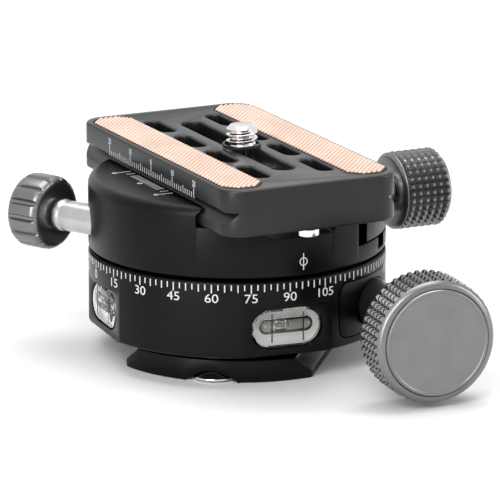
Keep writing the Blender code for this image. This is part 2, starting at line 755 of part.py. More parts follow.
def make_wheel():
    wheel = slab("worm_wheel", wheel_outline(), WHEEL_Z0, WHEEL_Z0 + WHEEL_FACE_H, shade="brass")
    waist_z0, waist_z1 = WHEEL_Z0 + WHEEL_FACE_H, BASE_Z1 - GAP
    core = turned("wheel_core", [(0, DRUM_Z1), (DRUM_R, DRUM_Z1), (DRUM_R, waist_z1),
                                 (DRUM_WAIST_R, waist_z1 - GAP), (DRUM_WAIST_R, waist_z0 - GAP),
                                 (DRUM_WAIST_R, WHEEL_Z0 + GAP), (HUB_R, WHEEL_Z0 + GAP),
                                 (HUB_R, NUT_Z0), (0, NUT_Z0)], KNOB_SEGMENTS, cutter=True)
    bolt_end = PIVOT_SEAT_Z + PIVOT_WASHER_H + 2 * GAP - PIVOT_LENGTH
    bolt_hole = rod("wheel_bolt_hole", PIVOT_R + GAP, (0, 0, bolt_end - GAP),
                    (0, 0, DRUM_Z1 + OVERRUN), SMALL_SEGMENTS, cutter=True)
    cut(join(wheel, core), bolt_hole)
    smooth(wheel)
    inner = HUB_R + GAP
    nut = turned("retaining_nut", [(inner, NUT_Z0 + NUT_H), (NUT_R, NUT_Z0 + NUT_H),
                                   (NUT_R, NUT_Z0), (inner, NUT_Z0)], shade="satin_steel")
    smooth(nut)


def worm_profile(phase):
    """Radius of the worm at a phase of its pitch, counted from a crest."""
    off = abs((phase + 0.5) % 1 - 0.5) * WORM_PITCH
    height = (TOOTH_HALF_THICKNESS - off) / math.tan(TOOTH_FLANK)
    return WORM_PITCH_R + max(-TOOTH_DEDENDUM, min(TOOTH_ADDENDUM, height))


def make_worm():
    """The worm's own Z axis runs from the rear bush out to the knob."""
    at = (WORM_X, 0, WORM_Z)
    rings = round(WORM_LENGTH / WORM_PITCH * WORM_RINGS_PER_PITCH)

    def build(shape):
        bmesh.ops.create_grid(shape, x_segments=WORM_SEGMENTS, y_segments=rings, size=0.5)
        for vert in shape.verts:
            share, height = vert.co.x + 0.5, vert.co.y * WORM_LENGTH
            angle = 2 * math.pi * share
            radius = worm_profile(height / WORM_PITCH - share)
            # The crest that faces the wheel is at angle 0 of the thread.
            vert.co = (-radius * math.cos(angle), -radius * math.sin(angle), height)
        bmesh.ops.remove_doubles(shape, verts=shape.verts, dist=MERGE)
        bmesh.ops.holes_fill(shape, edges=shape.edges, sides=0)
    shaft = as_object("worm_shaft", build, shade="satin_steel")
    shaft.location = at
    shaft.rotation_euler = Matrix(((1, 0, 0), (0, 0, -1), (0, 1, 0))).to_euler()
    half = WORM_LENGTH / 2
    step = carrier_face_y() - WORM_BUSH_SETBACK
    root = WORM_PITCH_R - TOOTH_DEDENDUM
    core = turned("worm_core", [(0, GEAR_KNOB_BACK + GEAR_STUB_L),
                                (GEAR_STUB_R, GEAR_KNOB_BACK + GEAR_STUB_L),
                                (GEAR_STUB_R, GEAR_KNOB_BACK), (GEAR_SHAFT_R, GEAR_KNOB_BACK),
                                (GEAR_SHAFT_R, step), (WORM_SHAFT_R, step),
                                (WORM_SHAFT_R, half), (root - GAP / 2, half),
                                (root - GAP / 2, -half), (WORM_SHAFT_R, -half),
                                (WORM_SHAFT_R, -half - WORM_TAIL), (0, -half - WORM_TAIL)],
                  MID_SEGMENTS, cutter=True)
    aim_worm(core)
    join(shaft, core)
    smooth(shaft)
    front = step - GAP
    rear = -half - WORM_TAIL + GAP
    for name, z1 in (("front", front), ("rear", rear + WORM_BUSH_LENGTH)):
        bush = turned(f"worm_bush_{name}",
                      [(WORM_SHAFT_R + GAP, z1), (WORM_BORE_R - GAP, z1),
                       (WORM_BORE_R - GAP, z1 - WORM_BUSH_LENGTH),
                       (WORM_SHAFT_R + GAP, z1 - WORM_BUSH_LENGTH)], MID_SEGMENTS, shade="bronze")
        aim_worm(bush)


def aim_worm(made):
    made.location = (WORM_X, 0, WORM_Z)
    made.rotation_euler = Matrix(((1, 0, 0), (0, 0, -1), (0, 1, 0))).to_euler()


def carrier_face_y():
    """Distance from the worm's middle to the body's surface, along the worm."""
    return math.sqrt(BODY_R ** 2 - WORM_X ** 2)


def make_gear_knob():
    back, front = GEAR_KNOB_BACK, GEAR_KNOB_BACK + GEAR_KNOB_H
    bore = GEAR_STUB_R + GAP
    stub_top = back + GEAR_STUB_L + GAP
    knob = turned("gear_knob", [(0, front - GEAR_CAP_H), (GEAR_CAP_R + GAP, front - GEAR_CAP_H),
                                (GEAR_CAP_R + GAP, front), (GEAR_KNOB_R - GEAR_KNOB_EDGE, front),
                                (GEAR_KNOB_R, front - GEAR_KNOB_EDGE),
                                (GEAR_KNOB_R, back + GAP + GEAR_KNOB_EDGE),
                                (GEAR_KNOB_R - GEAR_KNOB_EDGE, back + GAP), (bore, back + GAP),
                                (bore, stub_top), (0, stub_top)], KNOB_SEGMENTS, shade="knob_grey")
    aim_worm(knob)
    cap = turned("gear_knob_cap", [(0, front), (GEAR_CAP_R - GAP, front),
                                   (GEAR_CAP_R, front - GAP), (GEAR_CAP_R, front - GEAR_CAP_H + GAP),
                                   (0, front - GEAR_CAP_H + GAP)], KNOB_SEGMENTS, shade="satin_steel")
    aim_worm(cap)
    screw_y = -back - GAP - SET_SCREW_FROM_BACK
    inner = WORM_X + GEAR_STUB_R + GAP
    hole = rod("set_screw_hole", SET_SCREW_R + GAP, (inner - GEAR_STUB_R / 2, screw_y, WORM_Z),
               (WORM_X + GEAR_KNOB_R + OVERRUN, screw_y, WORM_Z), SMALL_SEGMENTS, cutter=True)
    cut(knob, hole)
    smooth(knob)
    smooth(cap)
    set_screw = rod("knob_set_screw", SET_SCREW_R, (inner - WORM_X, screw_y, 0),
                    (inner - WORM_X + SET_SCREW_L, screw_y, 0), SMALL_SEGMENTS, shade="satin_steel")
    set_screw.location = (WORM_X, 0, WORM_Z)


# Upper body

def on_lock_axis(along):
    """A point beside the pan axis, in the upper body's own frame."""
    foot = Vector((math.cos(LOCK_AZIMUTH + math.pi / 2), math.sin(LOCK_AZIMUTH + math.pi / 2), 0))
    ahead = Vector((math.cos(LOCK_AZIMUTH), math.sin(LOCK_AZIMUTH), 0))
    return foot * LOCK_OFFSET + ahead * along + UP * LOCK_Z


def jaw_side_profile(shift=0):
    """The clamp's undercut on the +X side, from the groove floor up."""
    return [(JAW_WALL_X + shift, GROOVE_Z), (JAW_WALL_X + shift, PLATE_Z0 + DOVETAIL_LIP_H),
            (LIP_TOP_X + shift, ROTOR_Z1), (LIP_TOP_X + shift, ROTOR_Z1 + OVERRUN)]


def run_along_y(made):
    """Stand up an outline drawn in X and Z, so that its depth runs along Y."""
    made.rotation_euler = (math.pi / 2, 0, 0)
    return made


def make_rotor():
    rotor = turned("rotor_body", [(0, ROTOR_Z1), (BODY_R - ROTOR_EDGE, ROTOR_Z1),
                                  (BODY_R, ROTOR_Z1 - ROTOR_EDGE),
                                  (BODY_R, ROTOR_Z0 + ROTOR_LOWER_EDGE),
                                  (BODY_R - ROTOR_LOWER_EDGE, ROTOR_Z0),
                                  (DRUM_R + GAP, ROTOR_Z0), (DRUM_R + GAP, RECESS_Z1),
                                  (0, RECESS_Z1)], BIG_SEGMENTS, shade="black_anodised",
                   parent=ROTOR_FRAME)
    reach = BODY_R + OVERRUN
    groove = [(-x, z) for x, z in jaw_side_profile()]
    groove += [(JAW_X0, ROTOR_Z1 + OVERRUN), (JAW_X0, GROOVE_Z)]
    cutters = [
        run_along_y(slab("groove", groove, -reach, reach, cutter=True, parent=ROTOR_FRAME)),
        box("jaw_room", (JAW_SLOT_X0, -reach, JAW_FLOOR_Z), (reach, reach, ROTOR_Z1 + OVERRUN),
            cutter=True, parent=ROTOR_FRAME),
        box("ledge_slot", (LEDGE_SLOT_X0, -reach, JAW_FLOOR_Z - LEDGE_SLOT_H),
            (LEDGE_SLOT_X0 + LEDGE_SLOT_W, reach, JAW_FLOOR_Z + OVERRUN), cutter=True,
            parent=ROTOR_FRAME),
        rod("pivot_seat", PIVOT_HEAD_R + GAP, (0, 0, PIVOT_SEAT_Z), (0, 0, GROOVE_Z + OVERRUN),
            cutter=True, parent=ROTOR_FRAME),
        rod("pivot_hole", PIVOT_R + GAP, (0, 0, RECESS_Z1 - OVERRUN), (0, 0, GROOVE_Z),
            SMALL_SEGMENTS, cutter=True, parent=ROTOR_FRAME),
        rod("clamp_thread", CLAMP_SCREW_R + GAP, (CLAMP_SCREW_TIP_X - GAP, 0, CLAMP_Z),
            (JAW_SLOT_X0 + OVERRUN, 0, CLAMP_Z), SMALL_SEGMENTS, cutter=True,
            parent=ROTOR_FRAME),
        rod("rotor_boss_seat", CLAMP_WASHER_R + GAP, (BODY_R - CLAMP_SEAT_DEPTH, 0, CLAMP_Z),
            (reach, 0, CLAMP_Z), MID_SEGMENTS, cutter=True, parent=ROTOR_FRAME),
        rod("lock_bore", COTTER_R + GAP, on_lock_axis(COTTER_FROM - LOCK_TRAVEL - GAP),
            on_lock_axis(BODY_R + OVERRUN), cutter=True, parent=ROTOR_FRAME),
    ]
    inner = STOP_Y - PLATE_TRAVEL - STOP_HEAD_R - GAP
    for side in (-1, 1):
        ends = sorted((side * inner, side * reach))
        outline = rounded_box((-STOP_ROOM_HALF, GROOVE_Z - STOP_ROOM_DEPTH),
                              (STOP_ROOM_HALF, GROOVE_Z + OVERRUN), STOP_ROOM_CORNER, 3)
        cutters.append(run_along_y(slab(f"stop_room_{side}", outline, -ends[1], -ends[0],
                                    cutter=True, parent=ROTOR_FRAME)))
        y = side * PIN_Y
        cutters.append(rod(f"pin_hole_{side}", PIN_R + GAP, (PIN_X0 - GAP, y, PIN_Z),
                           (JAW_SLOT_X0 + OVERRUN, y, PIN_Z), SMALL_SEGMENTS, cutter=True,
                           parent=ROTOR_FRAME))
        cutters.append(rod(f"spring_seat_{side}", SPRING_COIL_R + SPRING_WIRE_R + GAP,
                           (JAW_SLOT_X0 - SPRING_SEAT_DEPTH, y, PIN_Z),
                           (JAW_SLOT_X0 + OVERRUN, y, PIN_Z), SMALL_SEGMENTS, cutter=True,
                           parent=ROTOR_FRAME))
    smooth(cut(rotor, *cutters))


def make_pivot():
    seat = PIVOT_SEAT_Z + GAP
    turned("pivot_washer", [(PIVOT_R + GAP, seat + PIVOT_WASHER_H),
                            (PIVOT_HEAD_R, seat + PIVOT_WASHER_H), (PIVOT_HEAD_R, seat),
                            (PIVOT_R + GAP, seat)], MID_SEGMENTS, shade="satin_steel", parent=ROTOR_FRAME)
    under = seat + PIVOT_WASHER_H + GAP
    top = under + PIVOT_HEAD_H
    bolt = turned("pivot_bolt", [(0, top), (PIVOT_HEAD_R - GAP, top), (PIVOT_HEAD_R, top - GAP),
                                 (PIVOT_HEAD_R, under), (PIVOT_R, under),
                                 (PIVOT_R, under - PIVOT_LENGTH), (0, under - PIVOT_LENGTH)],
                  MID_SEGMENTS, shade="satin_steel", parent=ROTOR_FRAME)
    hexagon = rod("pivot_hex", PIVOT_HEX_R, (0, 0, top - PIVOT_HEX_H), (0, 0, top + OVERRUN), 6,
                  cutter=True, parent=ROTOR_FRAME)
    cut(bolt, hexagon)


def make_pins_and_springs():
    for side, name in ((-1, "near"), (1, "far")):
        y = side * PIN_Y
        pin = rod(f"jaw_guide_pin_{name}", PIN_R, (PIN_X0, y, PIN_Z), (PIN_X1, y, PIN_Z), SMALL_SEGMENTS,
                  shade="satin_steel", parent=ROTOR_FRAME)
        smooth(pin)
        start = JAW_SLOT_X0 - SPRING_SEAT_DEPTH + SPRING_WIRE_R + GAP
        end = JAW_X0 - SPRING_WIRE_R - GAP
        coil(f"jaw_spring_{name}", start, end, y)


def coil(name, start, end, y, points_per_turn=8):
    """A helical spring along X, as one tube."""
    curve = bpy.data.curves.new(name, "CURVE")
    curve.dimensions = "3D"
    curve.bevel_depth = SPRING_WIRE_R
    curve.bevel_resolution = 1
    curve.use_fill_caps = True
    spline = curve.splines.new("POLY")
    count = SPRING_TURNS * points_per_turn + 1
    spline.points.add(count - 1)
    for k, point in enumerate(spline.points):
        share = k / (count - 1)
        angle = 2 * math.pi * SPRING_TURNS * share
        point.co = (start + (end - start) * share, y + SPRING_COIL_R * math.cos(angle),
                    PIN_Z + SPRING_COIL_R * math.sin(angle), 1)
    made = bpy.data.objects.new(name, curve)
    made.parent = ROTOR_FRAME
    curve.materials.append(SHADES["satin_steel"])
    PARTS.objects.link(made)
    weld = made.modifiers.new("weld", "WELD")
    weld.merge_threshold = MERGE


# Moving jaw and clamp knob

def make_jaw():
    reach = BODY_R + OVERRUN
    floor = JAW_FLOOR_Z + GAP
    outline = [(JAW_X0, floor), (reach, floor), (reach, ROTOR_Z1)]
    outline += list(reversed(jaw_side_profile()[:3])) + [(JAW_X0, GROOVE_Z)]
    jaw = run_along_y(slab("moving_jaw", outline, -reach, reach, shade="black_anodised",
                       parent=JAW_FRAME))
    round_outside = turned("jaw_outside", [(0, ROTOR_Z1 + OVERRUN), (BODY_R - ROTOR_EDGE - OVERRUN,
                                           ROTOR_Z1 + OVERRUN), (BODY_R, ROTOR_Z1 - ROTOR_EDGE),
                                           (BODY_R, ROTOR_Z0), (0, ROTOR_Z0)], BIG_SEGMENTS,
                           cutter=True, parent=JAW_FRAME)
    keep_inside(jaw, round_outside)
    seat = BODY_R - CLAMP_SEAT_DEPTH
    cutters = [
        rod("jaw_screw_way", CLAMP_SCREW_R + GAP, (0, 0, CLAMP_Z), (reach, 0, CLAMP_Z),
            SMALL_SEGMENTS, cutter=True, parent=JAW_FRAME),
        rod("jaw_boss_seat", CLAMP_WASHER_R + GAP, (seat, 0, CLAMP_Z), (reach, 0, CLAMP_Z), MID_SEGMENTS,
            cutter=True, parent=JAW_FRAME),
    ]
    for side in (-1, 1):
        y = side * PIN_Y
        cutters.append(rod(f"jaw_pin_hole_{side}", PIN_R + GAP, (JAW_X0 - OVERRUN, y, PIN_Z),
                           (PIN_X1 + GAP, y, PIN_Z), SMALL_SEGMENTS, cutter=True,
                           parent=JAW_FRAME))
    smooth(cut(jaw, *cutters))
    washer = turned("clamp_washer", [(CLAMP_SCREW_R + GAP, CLAMP_WASHER_H),
                                     (CLAMP_WASHER_R, CLAMP_WASHER_H), (CLAMP_WASHER_R, 0),
                                     (CLAMP_SCREW_R + GAP, 0)], MID_SEGMENTS, shade="brass",
                    parent=JAW_FRAME)
    aim(washer, (seat + GAP, 0, CLAMP_Z), (1, 0, 0))


def make_clamp_knob():
    """The screw's own Z axis runs outward from its tip, its origin on the pan axis plane."""
    boss_end = BODY_R - CLAMP_SEAT_DEPTH + GAP + CLAMP_WASHER_H + GAP
    tail = CLAMP_KNOB_END - CLAMP_TAIL_SHORT
    screw = turned("clamp_screw", [(0, tail), (CLAMP_TAIL_R, tail), (CLAMP_TAIL_R, CLAMP_KNOB_X0),
                                   (CLAMP_BOSS_R, CLAMP_KNOB_X0), (CLAMP_BOSS_R, boss_end),
                                   (CLAMP_SCREW_R, boss_end),
                                   (CLAMP_SCREW_R, CLAMP_SCREW_TIP_X + GAP),
                                   (CLAMP_SCREW_R - GAP, CLAMP_SCREW_TIP_X),
                                   (0, CLAMP_SCREW_TIP_X)], MID_SEGMENTS, (0, 0, CLAMP_Z), (1, 0, 0),
                   shade="satin_steel", parent=ROTOR_FRAME)
    smooth(screw)
    bore = CLAMP_TAIL_R + GAP
    x0, x1 = CLAMP_KNOB_X0 + GAP, CLAMP_KNOB_END
    dish_z = x0 + CLAMP_DISH_DEPTH
    knob = turned("clamp_knob", [(0, x1), (CLAMP_KNOB_R - CLAMP_KNOB_EDGE, x1),
                                 (CLAMP_KNOB_R, x1 - CLAMP_KNOB_EDGE),
                                 (CLAMP_KNOB_R, x0 + CLAMP_KNOB_EDGE),
                                 (CLAMP_KNOB_R - CLAMP_KNOB_EDGE, x0), (CLAMP_DISH_R, x0),
                                 (CLAMP_BOSS_R + GAP, dish_z), (CLAMP_BOSS_R + GAP, x0), (bore, x0),
                                 (bore, tail + GAP), (0, tail + GAP)], MID_SEGMENTS, (0, 0, CLAMP_Z),
                  (1, 0, 0), shade="knob_grey", parent=ROTOR_FRAME)
    smooth(knob)


# Pan lock

def make_lock():
    ahead = on_lock_axis(1) - on_lock_axis(0)
    cotter = turned("lock_cotter", [(0, COTTER_TO), (COTTER_R, COTTER_TO), (COTTER_R, COTTER_FROM),
                                    (0, COTTER_FROM)], MID_SEGMENTS, on_lock_axis(0), ahead,
                    shade="brass", parent=ROTOR_FRAME)
    notch = rod("cotter_notch", DRUM_R + COTTER_CLEAR, (0, 0, LOCK_Z - LOCK_OFFSET),
                (0, 0, RECESS_Z1 + GAP), BIG_SEGMENTS, cutter=True, parent=ROTOR_FRAME)
    smooth(cut(cotter, notch))
    origin = on_lock_axis(0)
    bush_wall = LOCK_SCREW_R + GAP
    bush = turned("lock_bush", [(bush_wall, LOCK_BUSH_TO), (COTTER_R, LOCK_BUSH_TO),
                                (COTTER_R, LOCK_BUSH_TO - LOCK_BUSH_L),
                                (bush_wall, LOCK_BUSH_TO - LOCK_BUSH_L)], MID_SEGMENTS,
                  origin, ahead, shade="bronze", parent=ROTOR_FRAME)
    smooth(bush)
    tail = LOCK_KNOB_FROM + LOCK_TAIL_L
    stem = turned("lock_screw", [(0, tail), (LOCK_SCREW_R, tail), (LOCK_SCREW_R, LOCK_KNOB_FROM),
                                 (LOCK_STEM_R, LOCK_KNOB_FROM), (LOCK_STEM_R, LOCK_STEM_FROM),
                                 (LOCK_SCREW_R, LOCK_STEM_FROM), (LOCK_SCREW_R, COTTER_TO + GAP),
                                 (0, COTTER_TO + GAP)], MID_SEGMENTS, origin, ahead,
                  shade="satin_steel", parent=ROTOR_FRAME)
    smooth(stem)
    z0, z1 = LOCK_KNOB_FROM + GAP, LOCK_KNOB_FROM + GAP + LOCK_KNOB_H
    knob = slab("lock_knob", fluted_outline(LOCK_KNOB_R, LOCK_GROOVES, LOCK_GROOVE_R), z0, z1,
                shade="knob_grey", parent=ROTOR_FRAME)
    edge = LOCK_KNOB_EDGE
    outside = turned("lock_knob_outside",
                     [(0, z1)]
                     + [(LOCK_KNOB_R - edge + edge * math.sin(angle), z1 - edge + edge * math.cos(angle))
                        for angle in right_angle_steps()]
                     + [(LOCK_KNOB_R - edge + edge * math.cos(angle), z0 + edge - edge * math.sin(angle))
                        for angle in right_angle_steps()]
                     + [(0, z0)], 3 * LOCK_GROOVES, origin, ahead, cutter=True, parent=ROTOR_FRAME)
    bore = turned("lock_knob_bore", [(0, tail + GAP), (LOCK_SCREW_R + GAP, tail + GAP),
                                     (LOCK_SCREW_R + GAP, z0 - OVERRUN), (0, z0 - OVERRUN)], MID_SEGMENTS,
                  origin, ahead, cutter=True, parent=ROTOR_FRAME)
    aim(knob, origin, ahead)
    keep_inside(knob, outside)
    smooth(cut(knob, bore))


# Quick release plate

def make_plate():
    waist = DOVETAIL_HALF_WIDTH - DOVETAIL_BEVEL
    lip_top = PLATE_Z0 + DOVETAIL_LIP_H
    outer = DOVETAIL_HALF_WIDTH + OVERRUN
    half_length = PLATE_LENGTH / 2
    corners = rounded_box((-DOVETAIL_HALF_WIDTH, -half_length), (DOVETAIL_HALF_WIDTH, half_length),
                          SLAB_CORNER, 6)
    plate = slab("quick_release_plate", corners, PLATE_Z0, PLATE_Z1, shade="plate_anodised",
                 parent=PLATE_FRAME)
    bevel(plate, SLAB_EDGE, 1, math.radians(60))
    undercut = [(waist, SLAB_Z0), (DOVETAIL_HALF_WIDTH - SLAB_EDGE, SLAB_Z0),
                (outer, SLAB_Z0 + SLAB_EDGE + OVERRUN), (outer, lip_top - OVERRUN)]
    for side in (-1, 1):
        cut(plate, run_along_y(slab(f"dovetail_side_{side}", [(side * x, z) for x, z in undercut],
                                -half_length - OVERRUN, half_length + OVERRUN, cutter=True,
                                parent=PLATE_FRAME)))
    cutters = [
        slab("plate_hollow", round_hollow(PLATE_HOLLOW_LENGTH, 2 * PLATE_HOLLOW_HALF),
             PLATE_Z0 - OVERRUN, PLATE_Z1 - PLATE_ROOF, cutter=True, parent=PLATE_FRAME),
        slab("long_slot", stadium(LONG_SLOT_LENGTH, 2 * THREAD_SLOT_HALF, upright=True),
             SLAB_Z0 - OVERRUN, PLATE_Z1 + OVERRUN, cutter=True, parent=PLATE_FRAME),
    ]
    for side in (-1, 1):
        for k in range(SHORT_SLOTS):
            y = (k - (SHORT_SLOTS - 1) / 2) * SHORT_SLOT_PITCH
            cutters.append(slab(f"short_slot_{side}_{k}",
                                stadium(SHORT_SLOT_LENGTH, SHORT_SLOT_W,
                                        (side * SHORT_SLOT_X, y), True, 3),
                                SLAB_Z0 - OVERRUN, PLATE_Z1 + OVERRUN, cutter=True,
                                parent=PLATE_FRAME))
        cutters.append(slab(f"strip_seat_{side}", strip_outline(side, GAP),
                            PLATE_Z1 - STRIP_SINK - GAP, PLATE_Z1 + OVERRUN, cutter=True,
                            parent=PLATE_FRAME))
        cutters.append(rod(f"plate_stop_hole_{side}", STOP_SHANK_R + GAP,
                           (0, side * STOP_Y, PLATE_Z0 - OVERRUN),
                           (0, side * STOP_Y, PLATE_Z0 + STOP_SHANK_L + GAP), SMALL_SEGMENTS, cutter=True,
                           parent=PLATE_FRAME))
    middle = (SLAB_Z0 + PLATE_Z1) / 2
    notch = [(DOVETAIL_HALF_WIDTH - SLAB_NOTCH, middle), (outer, middle - SLAB_NOTCH - OVERRUN),
             (outer, middle + SLAB_NOTCH + OVERRUN)]
    cutters.append(run_along_y(slab("side_notch", notch, -half_length - OVERRUN,
                                half_length + OVERRUN, cutter=True, parent=PLATE_FRAME)))
    smooth(cut(plate, *cutters))


def round_hollow(length, width):
    """An outline with the plate's corners, its length along Y."""
    return rounded_box((-width / 2, -length / 2), (width / 2, length / 2), SLAB_CORNER, 4)


def strip_outline(side, grow=0):
    return stadium(STRIP_LENGTH + 2 * grow, STRIP_W + 2 * grow, (side * STRIP_X, 0), True, 5)


def make_strips_and_stops():
    for side, name in ((-1, "left"), (1, "right")):
        strip = slab(f"grip_strip_{name}", strip_outline(side), PLATE_Z1 - STRIP_SINK,
                     PLATE_Z1 + STRIP_PROUD, shade="grip_rubber", parent=PLATE_FRAME)
        smooth(strip)
    face = PLATE_Z0 - STOP_HEAD_DROP
    head_h = STOP_HEAD_DROP - GAP
    profile = screw_profile(STOP_HEAD_R, head_h, STOP_SHANK_R, STOP_SHANK_L + GAP, GAP)
    for side, name in ((-1, "near"), (1, "far")):
        screw = turned(f"plate_stop_screw_{name}", profile, SMALL_SEGMENTS,
                       (0, side * STOP_Y, face), -UP, shade="chrome", parent=PLATE_FRAME)
        smooth(screw)


def make_camera_screw():
    at = (0, CAMERA_SCREW_Y, 0)
    clip_z0 = PLATE_Z1 + GAP
    clip = turned("screw_clip", [(THREAD_SLOT_HALF, clip_z0 + CLIP_H), (CLIP_R, clip_z0 + CLIP_H),
                                 (CLIP_R, clip_z0), (THREAD_SLOT_HALF, clip_z0)], MID_SEGMENTS, at,
                  shade="black_anodised", parent=SCREW_FRAME)
    smooth(clip)
    head_top = PLATE_Z1 - PLATE_ROOF - GAP
    tip = PLATE_Z1 + CAMERA_SCREW_UP
    screw = turned("camera_screw", [(0, tip), (CAMERA_SCREW_R - CAMERA_SCREW_TIP, tip),
                                    (CAMERA_SCREW_R, tip - CAMERA_SCREW_TIP),
                                    (CAMERA_SCREW_R, head_top), (CAMERA_HEAD_R, head_top),
                                    (CAMERA_HEAD_R, head_top - CAMERA_HEAD_H),
                                    (0, head_top - CAMERA_HEAD_H)], MID_SEGMENTS, at,
                   shade="chrome", parent=SCREW_FRAME)
    low = head_top - CAMERA_HEAD_H
    coin = box("coin_slot", (-COIN_SLOT_W / 2, CAMERA_SCREW_Y - CAMERA_HEAD_R - OVERRUN,
                             low - OVERRUN),
               (COIN_SLOT_W / 2, CAMERA_SCREW_Y + CAMERA_HEAD_R + OVERRUN, low + COIN_SLOT_H),
               cutter=True, parent=SCREW_FRAME)
    smooth(cut(screw, coin))


JAW_FRAME = empty("jaw_slide", (0, 0, 0), ROTOR_FRAME)
PLATE_FRAME = empty("plate_slide", (0, 0, 0), ROTOR_FRAME)
SCREW_FRAME = empty("camera_screw_slide", (0, 0, 0), PLATE_FRAME)

make_foot()
make_foot_screws()
make_base()
make_carrier()
make_pan_bush()
make_wheel()
make_worm()
make_gear_knob()
make_rotor()
make_pivot()
make_pins_and_springs()
make_jaw()
make_clamp_knob()
make_lock()
make_plate()
make_strips_and_stops()
make_camera_screw()
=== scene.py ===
import json
import math

import bmesh
import bpy
from mathutils import Matrix, Vector


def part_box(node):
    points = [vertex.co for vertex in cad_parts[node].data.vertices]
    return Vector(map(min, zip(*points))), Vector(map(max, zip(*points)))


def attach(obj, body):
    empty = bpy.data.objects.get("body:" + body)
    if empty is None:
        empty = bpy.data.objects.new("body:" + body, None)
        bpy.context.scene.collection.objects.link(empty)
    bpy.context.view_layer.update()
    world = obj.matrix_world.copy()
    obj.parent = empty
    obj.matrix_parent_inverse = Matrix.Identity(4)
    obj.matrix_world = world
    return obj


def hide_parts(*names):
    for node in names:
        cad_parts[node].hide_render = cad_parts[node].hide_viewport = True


# The looks of a geared tripod head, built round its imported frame. Metres, +Z up.

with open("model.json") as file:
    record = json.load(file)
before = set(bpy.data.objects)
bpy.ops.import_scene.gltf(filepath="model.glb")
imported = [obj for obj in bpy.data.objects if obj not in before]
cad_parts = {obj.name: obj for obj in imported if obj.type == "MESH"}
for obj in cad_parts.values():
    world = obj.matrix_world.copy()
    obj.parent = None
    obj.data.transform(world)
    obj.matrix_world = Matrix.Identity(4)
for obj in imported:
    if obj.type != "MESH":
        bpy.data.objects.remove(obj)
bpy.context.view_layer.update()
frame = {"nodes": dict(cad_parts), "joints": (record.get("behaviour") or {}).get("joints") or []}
JOINTS = {joint["name"]: joint for joint in frame["joints"]}
UP = Vector((0, 0, 1))
HERE = Matrix.Identity(4)


# Directions and sizes read from the frame

def azimuth_of(direction):
    return math.atan2(direction[1], direction[0])


def turned_by(angle):
    return Matrix.Rotation(angle, 4, "Z")


def middle_of(node):
    low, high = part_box(node)
    return (low + high) / 2


def local_box(node, place):
    """A node's lowest and highest corners in the frame of a placement."""
    back = place.inverted()
    points = [back @ vert.co for vert in frame["nodes"][node].data.vertices]
    return (Vector([min(point[k] for point in points) for k in range(3)]),
            Vector([max(point[k] for point in points) for k in range(3)]))


def axis_frame(origin, along):
    """A placement whose Z runs along a line and whose X stays level."""
    along = Vector(along).normalized()
    side = along.cross(UP).normalized()
    turn = Matrix((side, along.cross(side), along)).transposed()
    return Matrix.Translation(origin) @ turn.to_4x4()


ROTOR = turned_by(azimuth_of(JOINTS["jaw_slide"]["axis"]))
FOOT = turned_by(azimuth_of(middle_of("foot_stop_screw_far") - middle_of("foot_stop_screw_near")))
GAP = 0.0003
OVER = 0.002
FINE = 192
ROUND = 96

BASE_LOW, BASE_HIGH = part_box("base_housing")
ROTOR_LOW, ROTOR_HIGH = local_box("rotor_body", ROTOR)
BODY_R = -ROTOR_LOW.x
BASE_Z0, BASE_Z1 = BASE_LOW.z, BASE_HIGH.z
ROTOR_Z0, ROTOR_Z1 = ROTOR_LOW.z, ROTOR_HIGH.z
FOOT_LOW, FOOT_HIGH = local_box("foot_plate", FOOT)
PLATE_LOW, PLATE_HIGH = local_box("quick_release_plate", ROTOR)
JAW_LOW, JAW_HIGH = local_box("moving_jaw", ROTOR)
WORM_PIVOT = Vector(JOINTS["worm_turn"]["pos_m"])
WORM = axis_frame(WORM_PIVOT, JOINTS["worm_turn"]["axis"])
CLAMP = axis_frame(JOINTS["clamp_turn"]["pos_m"], JOINTS["clamp_turn"]["axis"])
LOCK = axis_frame(JOINTS["lock_turn"]["pos_m"], -Vector(JOINTS["lock_turn"]["axis"]))
SCREW = Matrix.Translation(JOINTS["camera_screw_turn"]["pos_m"]) @ ROTOR

# Sizes of the looks that the frame's boxes don't hold
SOFT_EDGE = 0.00018
BASE_EDGE = 0.0004
FLAT_TOP = 0.0166
ROTOR_EDGE = 0.002
GROOVE_Z = PLATE_LOW.z - GAP
LIP_H = 0.0021
SLAB_H = 0.0045
SLAB_Z0 = PLATE_HIGH.z - SLAB_H
DOVETAIL_BEVEL = SLAB_Z0 - PLATE_LOW.z - LIP_H
JAW_WALL_X = PLATE_HIGH.x + GAP / math.tan(math.pi / 8)
LIP_TOP_X = JAW_WALL_X - (ROTOR_Z1 - PLATE_LOW.z - LIP_H)
JAW_SLOT_W = 0.0025
JAW_SLOT_X0 = JAW_LOW.x - JAW_SLOT_W
JAW_FLOOR_Z = JAW_LOW.z - GAP
LEDGE_SLOT_X0 = 0.0209
LEDGE_SLOT_W = 0.0027
LEDGE_SLOT_H = 0.0025


# Node materials

def principled(name, color, metallic, roughness, **settings):
    """A new material with its shader, and handy functions on its node tree."""
    made = bpy.data.materials.new(name)
    made.use_nodes = True
    shader = made.node_tree.nodes["Principled BSDF"]
    shader.inputs["Base Color"].default_value = (*color, 1)
    shader.inputs["Metallic"].default_value = metallic
    shader.inputs["Roughness"].default_value = roughness
    for label, value in settings.items():
        shader.inputs[label.replace("_", " ")].default_value = value
    made.diffuse_color = (*color, 1)
    return made, shader


def add_node(material, kind, **values):
    node = material.node_tree.nodes.new(kind)
    for label, value in values.items():
        if label in node.inputs:
            node.inputs[label].default_value = value
        else:
            setattr(node, label, value)
    return node


def link(material, source, output, target, entry):
    material.node_tree.links.new(source.outputs[output], target.inputs[entry])


def object_coordinates(material, stretch=(1, 1, 1)):
    places = add_node(material, "ShaderNodeTexCoord")
    mapping = add_node(material, "ShaderNodeMapping", Scale=stretch)
    link(material, places, "Object", mapping, "Vector")
    return mapping


